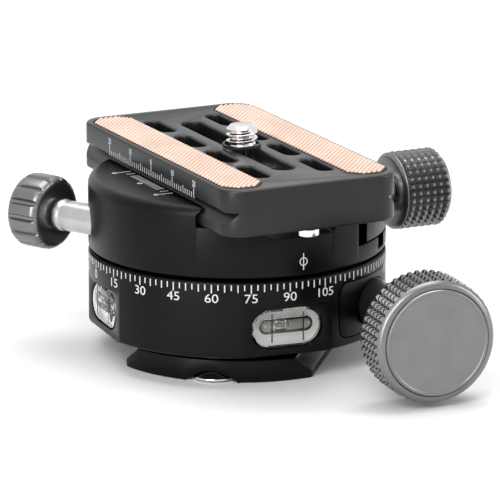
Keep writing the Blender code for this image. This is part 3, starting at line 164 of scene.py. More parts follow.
def mixed(material, shader, entry, factor, first, second):
    """Blend two colours by a factor's socket into one entry of the shader."""
    ramp = add_node(material, "ShaderNodeValToRGB")
    ramp.color_ramp.elements[0].color = (*first, 1)
    ramp.color_ramp.elements[1].color = (*second, 1)
    material.node_tree.links.new(factor, ramp.inputs["Fac"])
    link(material, ramp, "Color", shader, entry)
    return ramp


def grained(name, color, metallic, roughness, grain, spread, bump, stretch=(1, 1, 1), tint=0.12,
            **settings):
    """Metal whose colour, roughness and relief vary with a fine grain and a broad one."""
    made, shader = principled(name, color, metallic, roughness, **settings)
    at = object_coordinates(made, stretch)
    fine = add_node(made, "ShaderNodeTexNoise", Scale=grain, Detail=3.0, Roughness=0.6)
    broad = add_node(made, "ShaderNodeTexNoise", Scale=grain / 24, Detail=2.0)
    link(made, at, "Vector", fine, "Vector")
    link(made, at, "Vector", broad, "Vector")
    mixed(made, shader, "Base Color", broad.outputs["Fac"],
          [channel * (1 - tint) for channel in color], [channel * (1 + tint) for channel in color])
    rough = add_node(made, "ShaderNodeMapRange")
    rough.inputs["To Min"].default_value = roughness - spread
    rough.inputs["To Max"].default_value = roughness + spread
    link(made, fine, "Fac", rough, "Value")
    link(made, rough, "Result", shader, "Roughness")
    relief = add_node(made, "ShaderNodeBump", Strength=bump, Distance=0.00002)
    link(made, fine, "Fac", relief, "Height")
    link(made, relief, "Normal", shader, "Normal")
    return made


MATERIALS = {
    "black_anodised": grained("black_anodised", (0.010, 0.010, 0.0104), 0.9, 0.37, 5200, 0.05, 0.35),
    "plate_anodised": grained("plate_anodised", (0.030, 0.030, 0.031), 0.75, 0.34, 5200, 0.05, 0.35),
    "knob_grey": grained("knob_grey", (0.20, 0.20, 0.20), 0.95, 0.30, 5200, 0.05, 0.25),
    "shaft_grey": grained("shaft_grey", (0.09, 0.09, 0.092), 0.9, 0.32, 900, 0.04, 0.2, (1, 1, 12)),
    "satin_steel": grained("satin_steel", (0.50, 0.495, 0.49), 1.0, 0.26, 900, 0.05, 0.25, (1, 1, 14)),
    "chrome": grained("chrome", (0.78, 0.78, 0.79), 1.0, 0.09, 2400, 0.03, 0.1),
    "brass": grained("brass", (0.55, 0.40, 0.17), 1.0, 0.28, 1800, 0.06, 0.3),
    "bronze": grained("bronze", (0.36, 0.23, 0.12), 0.9, 0.42, 4000, 0.06, 0.5),
    "black_oxide": grained("black_oxide", (0.02, 0.02, 0.021), 0.6, 0.4, 3000, 0.05, 0.3),
    "white_ink": grained("white_ink", (0.62, 0.62, 0.62), 0.0, 0.55, 6000, 0.05, 0.2),
    "grip_base": grained("grip_base", (0.012, 0.006, 0.004), 0.0, 0.7, 3600, 0.08, 0.8),
    "grip_land": grained("grip_land", (0.75, 0.55, 0.45), 0.0, 0.45, 2600, 0.08, 0.8, tint=0.2),
    "level_back": grained("level_back", (0.82, 0.83, 0.80), 0.0, 0.35, 900, 0.08, 0.4),
    "level_shade": grained("level_shade", (0.10, 0.10, 0.10), 0.2, 0.35, 1200, 0.08, 0.4, tint=0.5),
}


def clear_material(name, color, ior, roughness):
    """A clear body with faint streaks in its polish."""
    made, shader = principled(name, color, 0, roughness, Transmission_Weight=1.0, IOR=ior)
    at = object_coordinates(made)
    streaks = add_node(made, "ShaderNodeTexNoise", Scale=420.0, Detail=2.0)
    relief = add_node(made, "ShaderNodeBump", Strength=0.15, Distance=0.00003)
    link(made, at, "Vector", streaks, "Vector")
    link(made, streaks, "Fac", relief, "Height")
    link(made, relief, "Normal", shader, "Normal")
    return made


MATERIALS["clear_acrylic"] = clear_material("clear_acrylic", (0.97, 0.98, 0.97), 1.49, 0.01)
MATERIALS["level_spirit"] = clear_material("level_spirit", (0.93, 0.95, 0.90), 1.36, 0.0)


# Mesh builders

def new_piece(name, build, place=HERE, sharp=math.radians(32)):
    mesh = bpy.data.meshes.new(name)
    shape = bmesh.new()
    build(shape)
    bmesh.ops.recalc_face_normals(shape, faces=shape.faces)
    shape.to_mesh(mesh)
    shape.free()
    made = bpy.data.objects.new(name, mesh)
    made.matrix_world = place
    bpy.context.scene.collection.objects.link(made)
    mesh.shade_smooth()
    mesh.set_sharp_from_angle(angle=sharp)
    return made


def settle(piece, *shades):
    """Give a piece its materials, by name."""
    if piece.data.materials:
        piece.data.materials.clear()
    for shade in shades:
        piece.data.materials.append(MATERIALS[shade])
    return piece


def dress(piece, body, shade, nodes=()):
    """Finish a piece: its material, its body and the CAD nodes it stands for."""
    settle(piece, *([shade] if isinstance(shade, str) else shade))
    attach(piece, body)
    if nodes:
        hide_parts(*([nodes] if isinstance(nodes, str) else nodes))
    return piece


def soften(points, radius, steps=3):
    """Round the inner corners of a run of points."""
    made = [points[0]]
    for before, corner, after in zip(points, points[1:], points[2:]):
        corner = Vector(corner)
        back, ahead = Vector(before) - corner, Vector(after) - corner
        reach = min(radius, back.length / 2.1, ahead.length / 2.1)
        start = corner + back.normalized() * reach
        end = corner + ahead.normalized() * reach
        for k in range(steps + 1):
            share = k / steps
            made.append(tuple(start * (1 - share) ** 2 + corner * 2 * share * (1 - share)
                              + end * share ** 2))
    return made + [points[-1]]


def join_rings(shape, first, second):
    """Faces between two rings of equal count, or between a ring and a point."""
    count = max(len(first), len(second))
    for k in range(count):
        ahead = (k + 1) % count
        corners = [first[k % len(first)], first[ahead % len(first)],
                   second[ahead % len(second)], second[k % len(second)]]
        unique = list(dict.fromkeys(corners))
        if len(unique) > 2:
            shape.faces.new(unique)


def lathe(profile, segments=ROUND):
    """Points of (radius, height), turned round Z. An open profile ends on the axis."""
    def build(shape):
        rings = []
        for radius, height in profile:
            if radius < 1e-9:
                rings.append([shape.verts.new((0, 0, height))])
            else:
                rings.append([shape.verts.new((radius * math.cos(math.tau * k / segments),
                                               radius * math.sin(math.tau * k / segments), height))
                              for k in range(segments)])
        pairs = list(zip(rings, rings[1:]))
        if len(rings[0]) > 1 and len(rings[-1]) > 1:
            pairs.append((rings[-1], rings[0]))
        for first, second in pairs:
            join_rings(shape, first, second)
    return build


def loft(sections):
    """Outlines of one count at rising heights, with flat ends."""
    def build(shape):
        rings = [[shape.verts.new((x, y, height)) for x, y in outline]
                 for outline, height in sections]
        for first, second in zip(rings, rings[1:]):
            join_rings(shape, first, second)
        shape.faces.new(rings[0])
        shape.faces.new(rings[-1])
    return build


def prism(outline, low, high):
    return loft([(outline, low), (outline, high)])


def along_y(outline, low, high):
    """An outline of X and Z, run along Y."""
    def build(shape):
        prism(outline, low, high)(shape)
        bmesh.ops.transform(shape, matrix=Matrix(((1, 0, 0, 0), (0, 0, 1, 0), (0, 1, 0, 0),
                                                  (0, 0, 0, 1))), verts=shape.verts)
    return build


def block(low, high):
    return prism([(low[0], low[1]), (high[0], low[1]), (high[0], high[1]), (low[0], high[1])],
                 low[2], high[2])


def tube(radius, start, end, segments=48):
    """A plain cylinder between two points, for cuts."""
    start, end = Vector(start), Vector(end)

    def build(shape):
        lathe([(0, 0), (radius, 0), (radius, (end - start).length), (0, (end - start).length)],
              segments)(shape)
        turn = (end - start).to_track_quat("Z", "Y").to_matrix().to_4x4()
        bmesh.ops.transform(shape, matrix=Matrix.Translation(start) @ turn, verts=shape.verts)
    return build


def rounded_box(half_x, half_y, corner, centre=(0, 0), steps=8):
    corner = min(corner, half_x, half_y)
    centres = ((half_x - corner, half_y - corner), (corner - half_x, half_y - corner),
               (corner - half_x, corner - half_y), (half_x - corner, corner - half_y))
    points = [(centre[0] + cx + corner * math.cos(math.pi / 2 * (quarter + k / steps)),
               centre[1] + cy + corner * math.sin(math.pi / 2 * (quarter + k / steps)))
              for quarter, (cx, cy) in enumerate(centres) for k in range(steps + 1)]
    return [point for k, point in enumerate(points) if math.dist(point, points[k - 1]) > 1e-7]


def combine(piece, operation, *others):
    """Cut, join or intersect with other objects, and drop them."""
    for other in others:
        step = piece.modifiers.new("combine", "BOOLEAN")
        step.operation = operation
        step.solver = "EXACT"
        step.object = other
    bake(piece)
    for other in others:
        bpy.data.objects.remove(other)
    return piece


def bake(piece):
    """Apply a piece's modifiers to its mesh."""
    bpy.context.view_layer.update()
    ready = piece.evaluated_get(bpy.context.evaluated_depsgraph_get())
    mesh = bpy.data.meshes.new_from_object(ready)
    piece.modifiers.clear()
    piece.data = mesh


def edge_round(piece, width=SOFT_EDGE, segments=2, angle=math.radians(28)):
    """A small bevel on the edges that the cuts left."""
    shape = bmesh.new()
    shape.from_mesh(piece.data)
    bmesh.ops.remove_doubles(shape, verts=shape.verts, dist=2e-6)
    bmesh.ops.dissolve_limit(shape, angle_limit=math.radians(0.05), verts=shape.verts,
                             edges=shape.edges)
    shape.to_mesh(piece.data)
    shape.free()
    step = piece.modifiers.new("edges", "BEVEL")
    step.width = width
    step.segments = segments
    step.limit_method = "ANGLE"
    step.angle_limit = angle
    step.use_clamp_overlap = False
    step.miter_outer = "MITER_ARC"
    bake(piece)
    piece.data.shade_smooth()
    piece.data.set_sharp_from_angle(angle=math.radians(38))
    return piece


# Print: thin raised solids in white ink

PRINT_H = 0.00004


def on_cylinder(radius):
    """A place on a wall: distance round it, height, and height above the wall."""
    def place(x, y, proud):
        angle = x / radius
        reach = radius + proud
        return Vector((reach * math.cos(angle), reach * math.sin(angle), y))
    return place


def on_plane(origin, right, upward):
    right, upward = Vector(right), Vector(upward)
    out = right.cross(upward)

    def place(x, y, proud):
        return Vector(origin) + right * x + upward * y + out * proud
    return place


def add_outline(shape, outline, place):
    """One closed outline as a thin raised solid."""
    low = [shape.verts.new(place(x, y, -PRINT_H)) for x, y in outline]
    high = [shape.verts.new(place(x, y, PRINT_H)) for x, y in outline]
    join_rings(shape, low, high)
    shape.faces.new(low)
    shape.faces.new(high)


def add_bar(shape, x, y0, y1, width, place):
    add_outline(shape, [(x - width / 2, y0), (x + width / 2, y0), (x + width / 2, y1),
                        (x - width / 2, y1)], place)


def add_ring(shape, x, y, radius, width, place, steps=28):
    """A round line, as short bars that meet."""
    for k in range(steps):
        corners = []
        for reach, step in ((radius - width / 2, k), (radius + width / 2, k),
                            (radius + width / 2, k + 1), (radius - width / 2, k + 1)):
            angle = math.tau * step / steps
            corners.append((x + reach * math.cos(angle), y + reach * math.sin(angle)))
        add_outline(shape, corners, place)


def add_number(shape, text, x, y, height, place, squeeze=0.86, weight=0.0):
    """A plain number, centred on x with its foot at y."""
    curve = bpy.data.curves.new("number", "FONT")
    curve.body = text
    curve.size = height / 0.73
    curve.align_x = "CENTER"
    curve.extrude = PRINT_H
    curve.offset = weight
    curve.resolution_u = 4
    holder = bpy.data.objects.new("number", curve)
    bpy.context.scene.collection.objects.link(holder)
    bpy.context.view_layer.update()
    flat = bpy.data.meshes.new_from_object(holder.evaluated_get(bpy.context.evaluated_depsgraph_get()))
    bpy.data.objects.remove(holder)
    foot = min(vert.co.y for vert in flat.vertices)
    for vert in flat.vertices:
        vert.co = place(x + vert.co.x * squeeze, y + vert.co.y - foot, vert.co.z)
    shape.from_mesh(flat)


# Floor, light and camera

def make_stage():
    floor_r = 3.0
    floor = new_piece("floor", prism([(-floor_r, -floor_r), (floor_r, -floor_r), (floor_r, floor_r),
                                      (-floor_r, floor_r)], -0.01, -0.00002))
    made, shader = principled("floor_white", (0.9, 0.9, 0.9), 0, 0.9)
    settle_stage(floor, made)


def settle_stage(floor, material):
    floor.data.materials.append(material)
    return floor


def area_light(name, place, aim, size, power, spread=None):
    lamp = bpy.data.lights.new(name, "AREA")
    lamp.shape = "RECTANGLE"
    lamp.size, lamp.size_y = size
    lamp.energy = power
    if spread:
        lamp.spread = spread
    made = bpy.data.objects.new(name, lamp)
    made.location = place
    made.rotation_euler = (Vector(aim) - Vector(place)).to_track_quat("-Z", "Y").to_euler()
    bpy.context.scene.collection.objects.link(made)
    return made


def make_world():
    """White for the camera, for gloss and for clear bodies, and soft grey as light."""
    world = bpy.data.worlds.new("studio")
    bpy.context.scene.world = world
    world.use_nodes = True
    tree = world.node_tree
    background = tree.nodes["Background"]
    path = tree.nodes.new("ShaderNodeLightPath")
    seen = tree.nodes.new("ShaderNodeMath")
    seen.operation = "MAXIMUM"
    tree.links.new(path.outputs["Is Camera Ray"], seen.inputs[0])
    tree.links.new(path.outputs["Is Transmission Ray"], seen.inputs[1])
    both = tree.nodes.new("ShaderNodeMath")
    both.operation = "MAXIMUM"
    tree.links.new(seen.outputs[0], both.inputs[0])
    tree.links.new(path.outputs["Is Glossy Ray"], both.inputs[1])
    mix = tree.nodes.new("ShaderNodeMix")
    mix.data_type = "RGBA"
    mix.inputs["A"].default_value = (0.32, 0.32, 0.33, 1)
    mix.inputs["B"].default_value = (1, 1, 1, 1)
    tree.links.new(both.outputs[0], mix.inputs["Factor"])
    tree.links.new(mix.outputs["Result"], background.inputs["Color"])


CAMERA_AT = Vector((-0.32376, -0.87253, 0.2633))
CAMERA_LOOK = Vector((0.3392, 0.9063, -0.2522))
CAMERA_LENS = 343.07


def make_camera():
    camera = bpy.data.cameras.new("camera")
    camera.lens = CAMERA_LENS
    camera.sensor_width = 36
    camera.clip_start = 0.01
    made = bpy.data.objects.new("camera", camera)
    made.location = CAMERA_AT
    made.rotation_euler = CAMERA_LOOK.to_track_quat("-Z", "Y").to_euler()
    bpy.context.scene.collection.objects.link(made)
    bpy.context.scene.camera = made


# Base housing with its degree ring and levels

DRUM_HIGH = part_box("worm_wheel")[1]
NUT_LOW, NUT_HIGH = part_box("retaining_nut")
BUSH_LOW, BUSH_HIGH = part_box("pan_bush")
CARRIER_LOW, CARRIER_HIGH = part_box("worm_carrier")
WELL_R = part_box("worm_wheel")[1].x + GAP
NUT_ROOM_R = NUT_HIGH.x + OVER
HUB_HOLE_R = 0.008
FLANGE_H = 0.0006
WEB_Z0 = NUT_HIGH.z + GAP
WEB_Z1 = BUSH_HIGH.z - FLANGE_H - GAP
CARRIER_CORNER = 0.0022
CARRIER_DEPTH = 0.0055
WORM_BORE_R = 0.0049
SHAFT_R = 0.0045
LEVEL_AZIMUTHS = {"left": math.pi, "front": -math.pi / 2}


def level_frame(azimuth):
    """X to the right as seen from outside, Y up, Z out of the flat; origin on the flat."""
    low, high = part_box("level_vial_front")
    out = Vector((math.cos(azimuth), math.sin(azimuth), 0))
    right = UP.cross(out)
    turn = Matrix((right, UP, out)).transposed()
    origin = out * -low.y + UP * (low.z + high.z) / 2
    return Matrix.Translation(origin) @ turn.to_4x4()


LEVEL_HALF_L = (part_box("level_vial_front")[1].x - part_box("level_vial_front")[0].x) / 2
LEVEL_HALF_H = (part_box("level_vial_front")[1].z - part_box("level_vial_front")[0].z) / 2
LEVEL_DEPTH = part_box("level_vial_front")[1].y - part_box("level_vial_front")[0].y
FLAT_FROM_AXIS = -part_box("level_vial_front")[0].y


def level_outline(grow=0):
    return rounded_box(LEVEL_HALF_L + grow, LEVEL_HALF_H + grow, LEVEL_HALF_H + grow, steps=12)


def make_base():
    e = BASE_EDGE
    outer = soften([(WELL_R, BASE_Z1), (BODY_R - e, BASE_Z1), (BODY_R, BASE_Z1 - e),
                    (BODY_R, BASE_Z0 + e), (BODY_R - e, BASE_Z0), (NUT_ROOM_R, BASE_Z0),
                    (NUT_ROOM_R, WEB_Z0), (HUB_HOLE_R, WEB_Z0), (HUB_HOLE_R, WEB_Z1),
                    (WELL_R, WEB_Z1)], SOFT_EDGE)
    base = new_piece("base_shell", lathe(outer, FINE))
    cutters = []
    for side, azimuth in LEVEL_AZIMUTHS.items():
        place = level_frame(azimuth)
        cutters.append(new_piece("flat_" + side, block(
            (-BODY_R, -BODY_R, 0), (BODY_R, FLAT_TOP - place.translation.z, 2 * OVER)), place))
        cutters.append(new_piece("pocket_" + side, prism(level_outline(GAP), -LEVEL_DEPTH - GAP,
                                                         OVER), place))
    half = Vector(((CARRIER_HIGH.x - CARRIER_LOW.x) / 2, (CARRIER_HIGH.z - CARRIER_LOW.z) / 2))
    seat = carrier_block("carrier_seat", GAP / 2, OVER)
    cutters.append(seat)
    cutters.append(new_piece("tunnel", tube(WORM_BORE_R, (WORM_PIVOT.x, 0.0112, WORM_PIVOT.z),
                                            (WORM_PIVOT.x, -BODY_R - OVER, WORM_PIVOT.z))))
    for number in range(1, 5):
        low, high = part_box(f"foot_screw_{number}")
        middle = (low + high) / 2
        cutters.append(new_piece("screw_way", tube(0.0017, (middle.x, middle.y, BASE_Z0 - OVER),
                                                   (middle.x, middle.y, high.z + GAP), 24)))
    screw_low, screw_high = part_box("carrier_screw")
    middle = (screw_low + screw_high) / 2
    cutters.append(new_piece("carrier_screw_way", tube(
        0.0016, (middle.x, middle.y, BASE_Z0 - OVER), (middle.x, middle.y, CARRIER_LOW.z), 24)))
    combine(base, "DIFFERENCE", *cutters)
    edge_round(base)
    dress(base, "base", "black_anodised", "base_housing")


def carrier_block(name, grow, proud):
    """The flush insert round the worm shaft, its outer face on the body's own round."""
    half_x = (CARRIER_HIGH.x - CARRIER_LOW.x) / 2 + grow
    half_z = (CARRIER_HIGH.z - CARRIER_LOW.z) / 2 + grow
    centre = ((CARRIER_HIGH.x + CARRIER_LOW.x) / 2, (CARRIER_HIGH.z + CARRIER_LOW.z) / 2)
    outline = rounded_box(half_x, half_z, CARRIER_CORNER + grow, centre)
    made = new_piece(name, along_y(outline, -BODY_R - 2 * OVER, CARRIER_HIGH.y + grow))
    ring = new_piece("ring", lathe([(BODY_R - CARRIER_DEPTH - grow, BASE_Z1 + OVER),
                                    (BODY_R + proud, BASE_Z1 + OVER),
                                    (BODY_R + proud, BASE_Z0 - OVER),
                                    (BODY_R - CARRIER_DEPTH - grow, BASE_Z0 - OVER)], FINE))
    return combine(made, "INTERSECT", ring)


def make_carrier():
    carrier = carrier_block("worm_carrier_insert", 0, 0)
    bore = new_piece("bore", tube(SHAFT_R + GAP, (WORM_PIVOT.x, 0, WORM_PIVOT.z),
                                  (WORM_PIVOT.x, -BODY_R - OVER, WORM_PIVOT.z), 64))
    combine(carrier, "DIFFERENCE", bore)
    edge_round(carrier, SOFT_EDGE / 2)
    dress(carrier, "base", "black_anodised", "worm_carrier")


RING_TICK_TOP = BASE_Z1 - 0.0005
RING_STEP = 2.5
RING_TICKS = ((15, 0.00171), (5, 0.00149), (2.5, 0.00113))
RING_TICK_W = 0.00024
RING_NUMBER_H = 0.00185
RING_NUMBER_DROP = 0.0018


def make_degree_ring():
    """Angle k stands at azimuth 180 + k degrees, so it reads rightwards from the left side."""
    carrier_span = (118, 142)

    def build(shape):
        place = on_cylinder(BODY_R)
        for k in range(round(360 / RING_STEP)):
            angle = k * RING_STEP
            x = BODY_R * (math.pi + math.radians(angle))
            length = next(size for step, size in RING_TICKS if angle % step == 0)
            add_bar(shape, x, RING_TICK_TOP - length, RING_TICK_TOP, RING_TICK_W, place)
            if angle % 15 == 0 and not carrier_span[0] < angle < carrier_span[1]:
                add_number(shape, str(round(angle)), x,
                           RING_TICK_TOP - RING_NUMBER_DROP - RING_NUMBER_H, RING_NUMBER_H, place, 1.15)
    ring = new_piece("degree_ring_print", build)
    dress(ring, "base", "white_ink")


VIAL_R = 0.0025
VIAL_HALF_L = 0.0056
BUBBLE_R = 0.00165
BUBBLE_AT_SHARE = -0.16


def capsule(radius, half_length, steps=10):
    """Half outline of a round-ended barrel, from one end to the other."""
    straight = half_length - radius
    run = [(radius * math.sin(math.pi / 2 * k / steps),
            straight + radius * math.cos(math.pi / 2 * k / steps)) for k in range(steps + 1)]
    return run + [(r, -z) for r, z in reversed(run)]


def make_level(name, azimuth):
    place = level_frame(azimuth)
    edge = 0.00035
    depth = LEVEL_DEPTH - 0.0009
    sections = [(level_outline(-0.00005), -depth), (level_outline(-0.00005), -edge),
                (level_outline(-0.00005 - edge * 0.3), -edge * 0.3), (level_outline(-0.00005 - edge), 0)]
    glass = new_piece(name + "_block", loft(sections), place)
    across = Matrix.Translation((0, 0.0004, -depth * 0.5)) @ Matrix.Rotation(math.pi / 2, 4, "Y")
    room = new_piece("room", lathe(capsule(VIAL_R * 0.62, VIAL_HALF_L), 48), place @ across)
    combine(glass, "DIFFERENCE", room)
    glass.data.shade_smooth()
    glass.data.set_sharp_from_angle(angle=math.radians(30))
    dress(glass, "base", "clear_acrylic", name)
    spirit = new_piece(name + "_spirit", lathe(capsule(VIAL_R * 0.62 - 0.00003, VIAL_HALF_L - 0.00003), 48),
                       place @ across)
    bubble = new_piece("bubble", lathe(capsule(BUBBLE_R * 0.8, BUBBLE_R), 32),
                       place @ across @ Matrix.Translation((0, 0, BUBBLE_AT_SHARE * VIAL_HALF_L)))
    combine(spirit, "DIFFERENCE", bubble)
    spirit.data.shade_smooth()
    dress(spirit, "base", "level_spirit")
    back = new_piece(name + "_backing", prism(level_outline(-0.0001), -LEVEL_DEPTH, -depth - 0.0001), place)
    dress(back, "base", "level_back")

    def marks(shape):
        for x in (-0.0033, 0.0033):
            for z in (-depth * 0.5 + VIAL_R * 0.62 + 0.0002,):
                block((x - 0.00012, -LEVEL_HALF_H * 0.72, z), (x + 0.00012, LEVEL_HALF_H * 0.86, z + 0.00006))(shape)
    lines = new_piece(name + "_marks", marks, place)
    dress(lines, "base", "black_oxide")


# Foot

FOOT_LIP_H = 0.0017
FOOT_BEVEL = 0.0028
FOOT_END_R = 0.0275
FOOT_NECK_R = 0.0205
POCKET_MOUTH_R = 0.00595
POCKET_H = 0.0036
POCKET_SLOPE = 1.2


def make_foot():
    """A dovetail with arched ends and a low round neck under the base."""
    half_w, top = FOOT_HIGH.y, FOOT_HIGH.z
    waist = half_w - FOOT_BEVEL
    deck = FOOT_LIP_H + FOOT_BEVEL
    profile = [(half_w, FOOT_LOW.z), (half_w, FOOT_LIP_H), (waist, deck), (waist, top)]
    outline = profile + [(-x, z) for x, z in reversed(profile)]
    across = FOOT @ turned_by(math.pi / 2)
    reach = FOOT_HIGH.x + OVER
    foot = new_piece("foot_shell", along_y(outline, -reach, reach), across)
    for side in (-1, 1):
        end = new_piece("end", tube(FOOT_END_R, (0, 0, -OVER), (0, 0, top + OVER), FINE),
                        FOOT @ Matrix.Translation((side * (FOOT_HIGH.x - FOOT_END_R), 0, 0)))
        combine(foot, "INTERSECT", end)
    far = FOOT_END_R + OVER
    room = new_piece("neck_room", lathe([(FOOT_NECK_R, top + OVER), (far, top + OVER), (far, deck + 0.0001),
                                         (FOOT_NECK_R, deck + 0.0001)], FINE), FOOT)
    combine(foot, "DIFFERENCE", room)
    cutters = [new_piece("socket", tube(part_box("thread_insert")[1].x + GAP, (0, 0, -OVER),
                                        (0, 0, FOOT_HIGH.z + OVER), 96))]
    for end in ("near", "far"):
        x = middle_of(f"foot_stop_screw_{end}")
        top_r = POCKET_MOUTH_R - POCKET_H * POCKET_SLOPE
        cutters.append(new_piece("pocket", lathe([(0, POCKET_H), (top_r, POCKET_H),
                                                  (POCKET_MOUTH_R + OVER * POCKET_SLOPE, -OVER),
                                                  (0, -OVER)], ROUND),
                                 Matrix.Translation((x.x, x.y, 0))))
    for number in range(1, 5):
        at = middle_of(f"foot_screw_{number}")
        cutters.append(new_piece("way", tube(0.0017, (at.x, at.y, -OVER),
                                             (at.x, at.y, FOOT_HIGH.z + OVER), 32)))
        cutters.append(new_piece("sink", tube(0.003, (at.x, at.y, -OVER), (at.x, at.y, 0.0027), 48)))
    combine(foot, "DIFFERENCE", *cutters)
    edge_round(foot, 0.0003)
    dress(foot, "base", "black_anodised", "foot_plate")


def screw_head(name, node, head_r, body, recess=0.0014, cone=0.0, segments=64, shade="chrome"):
    """A machine screw seen head down, with a hexagon recess in a gently domed head."""
    low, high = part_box(node)
    at = middle_of(node)
    dome = 0.0003
    head_h = HEADS[node.rstrip("_1234")][1]
    shank_r = HEADS[node.rstrip("_1234")][2]
    z0 = low.z
    profile = [(0, high.z), (shank_r, high.z), (shank_r, z0 + head_h + cone), (head_r, z0 + head_h),
               (head_r, z0 + dome * 1.3), (head_r * 0.8, z0 + dome * 0.4), (head_r * 0.5, z0),
               (0, z0)]
    made = new_piece(name, lathe(soften(profile, SOFT_EDGE), segments),
                     Matrix.Translation((at.x, at.y, 0)))
    hexagon = new_piece("hexagon", lathe([(0, z0 - OVER), (recess, z0 - OVER),
                                          (recess, z0 + 0.0011), (0, z0 + 0.0011)], 6),
                        Matrix.Translation((at.x, at.y, 0)))
    combine(made, "DIFFERENCE", hexagon)
    made.data.shade_smooth()
    made.data.set_sharp_from_angle(angle=math.radians(35))
    dress(made, body, shade, node)


HEADS = {
    "foot_screw": (0.0027, 0.0018, 0.0014),
    "foot_stop_screw_near": (0.0044, 0.0007, 0.0013),
    "foot_stop_screw_far": (0.0044, 0.0007, 0.0013),
    "plate_stop_screw_near": (0.0023, 0.0018, 0.001),
    "plate_stop_screw_far": (0.0023, 0.0018, 0.001),
}


def make_screws():
    for number in range(1, 5):
        screw_head(f"foot_screw_{number}_turned", f"foot_screw_{number}", 0.0027, "base")
    for end in ("near", "far"):
        screw_head(f"foot_stop_{end}_turned", f"foot_stop_screw_{end}", 0.0044, "base", 0.0016, 0.0026)
        screw_head(f"plate_stop_{end}_turned", f"plate_stop_screw_{end}", 0.0023, "plate", 0.001)


# Worm shaft and gear knob

def knurled(around, along, radius, depth, z0, z1, land_share, before, after, split=3):
    """A turned solid with a band of truncated pyramids between two runs of profile points."""
    count = around * split

    def ring_of(shape, r, z):
        return [shape.verts.new((r * math.cos(math.tau * k / count),
                                 r * math.sin(math.tau * k / count), z)) for k in range(count)]

    def build(shape):
        root = radius - depth
        rings = []
        for r, z in before:
            rings.append([shape.verts.new((0, 0, z))] if r < 1e-9 else ring_of(shape, r, z))
        rows = [ring_of(shape, root, z0 + (z1 - z0) * k / along) for k in range(along + 1)]
        for first, second in zip(rings + [rows[0]], rings[1:] + [rows[0]]):
            if first is not second:
                join_rings(shape, first, second)
        margin = (1 - land_share) / 2
        for j in range(along):
            low_z = z0 + (z1 - z0) * (j + margin) / along
            high_z = z0 + (z1 - z0) * (j + 1 - margin) / along
            for i in range(around):
                tops = []
                for share, z in ((margin, low_z), (1 - margin, low_z), (1 - margin, high_z),
                                 (margin, high_z)):
                    angle = math.tau * (i + share) / around
                    tops.append(shape.verts.new((radius * math.cos(angle), radius * math.sin(angle), z)))
                low = [rows[j][(i * split + k) % count] for k in range(split + 1)]
                high = [rows[j + 1][(i * split + k) % count] for k in range(split + 1)]
                shape.faces.new(tops)
                shape.faces.new(low + [tops[1], tops[0]])
                shape.faces.new(list(reversed(high)) + [tops[3], tops[2]])
                shape.faces.new([low[-1], high[-1], tops[2], tops[1]])
                shape.faces.new([high[0], low[0], tops[0], tops[3]])
        rings = [rows[-1]]
        for r, z in after:
            rings.append([shape.verts.new((0, 0, z))] if r < 1e-9 else ring_of(shape, r, z))
        for first, second in zip(rings, rings[1:]):
            join_rings(shape, first, second)
    return build


GEAR_LOW, GEAR_HIGH = local_box("gear_knob", WORM)
CAP_LOW, CAP_HIGH = local_box("gear_knob_cap", WORM)
WORM_SHAFT_LOW, WORM_SHAFT_HIGH = local_box("worm_shaft", WORM)


def make_gear_knob():
    z0, z1, r = GEAR_LOW.z, GEAR_HIGH.z, GEAR_HIGH.x + 0.0005
    edge = 0.0008
    rim = 0.0009
    depth = 0.0009
    cap_r = CAP_HIGH.x + GAP / 4
    bore = 0.0033
    stub = WORM_SHAFT_HIGH.z + GAP
    before = soften([(0, stub), (bore, stub), (bore, z0), (r - edge, z0), (r - depth, z0 + edge),
                     (r - depth, z0 + rim)], SOFT_EDGE)[:-1]
    after = soften([(r - depth, z1 - 2 * rim), (r - edge / 4, z1 - 2 * rim + 0.0003),
                    (r - edge, z1 - edge), (cap_r, z1 - edge / 2), (cap_r, CAP_LOW.z - GAP),
                    (0, CAP_LOW.z - GAP)], SOFT_EDGE)[1:]
    knob = new_piece("gear_knob_body", knurled(48, 5, r, depth, z0 + rim, z1 - 2 * rim, 0.34,
                                               before, after), WORM, math.radians(20))
    screw = frame["nodes"]["knob_set_screw"]
    low, high = local_box("knob_set_screw", WORM)
    middle = (low + high) / 2
    hole = new_piece("hole", tube(0.0012, (low.x, middle.y, middle.z), (-r - OVER, middle.y, middle.z))
                     if low.x < 0 and abs(low.x) > high.x else
                     tube(0.0012, (low.x, middle.y, middle.z), (r + OVER, middle.y, middle.z)), WORM)
    dress(knob, "worm", "knob_grey", "gear_knob")
    bpy.data.objects.remove(hole)
    face = CAP_HIGH.z
    cap_edge = 0.0007
    cap = new_piece("gear_knob_face", lathe(soften([(0, face - 0.00012), (CAP_HIGH.x - cap_edge - 0.0001, face - 0.00012),
                                                    (CAP_HIGH.x - cap_edge, face), (CAP_HIGH.x - 0.00025, face),
                                                    (CAP_HIGH.x, face - 0.0004), (CAP_HIGH.x, CAP_LOW.z),
                                                    (0, CAP_LOW.z)], 0.0001), ROUND * 2), WORM)
    dress(cap, "worm", "knob_grey", "gear_knob_cap")


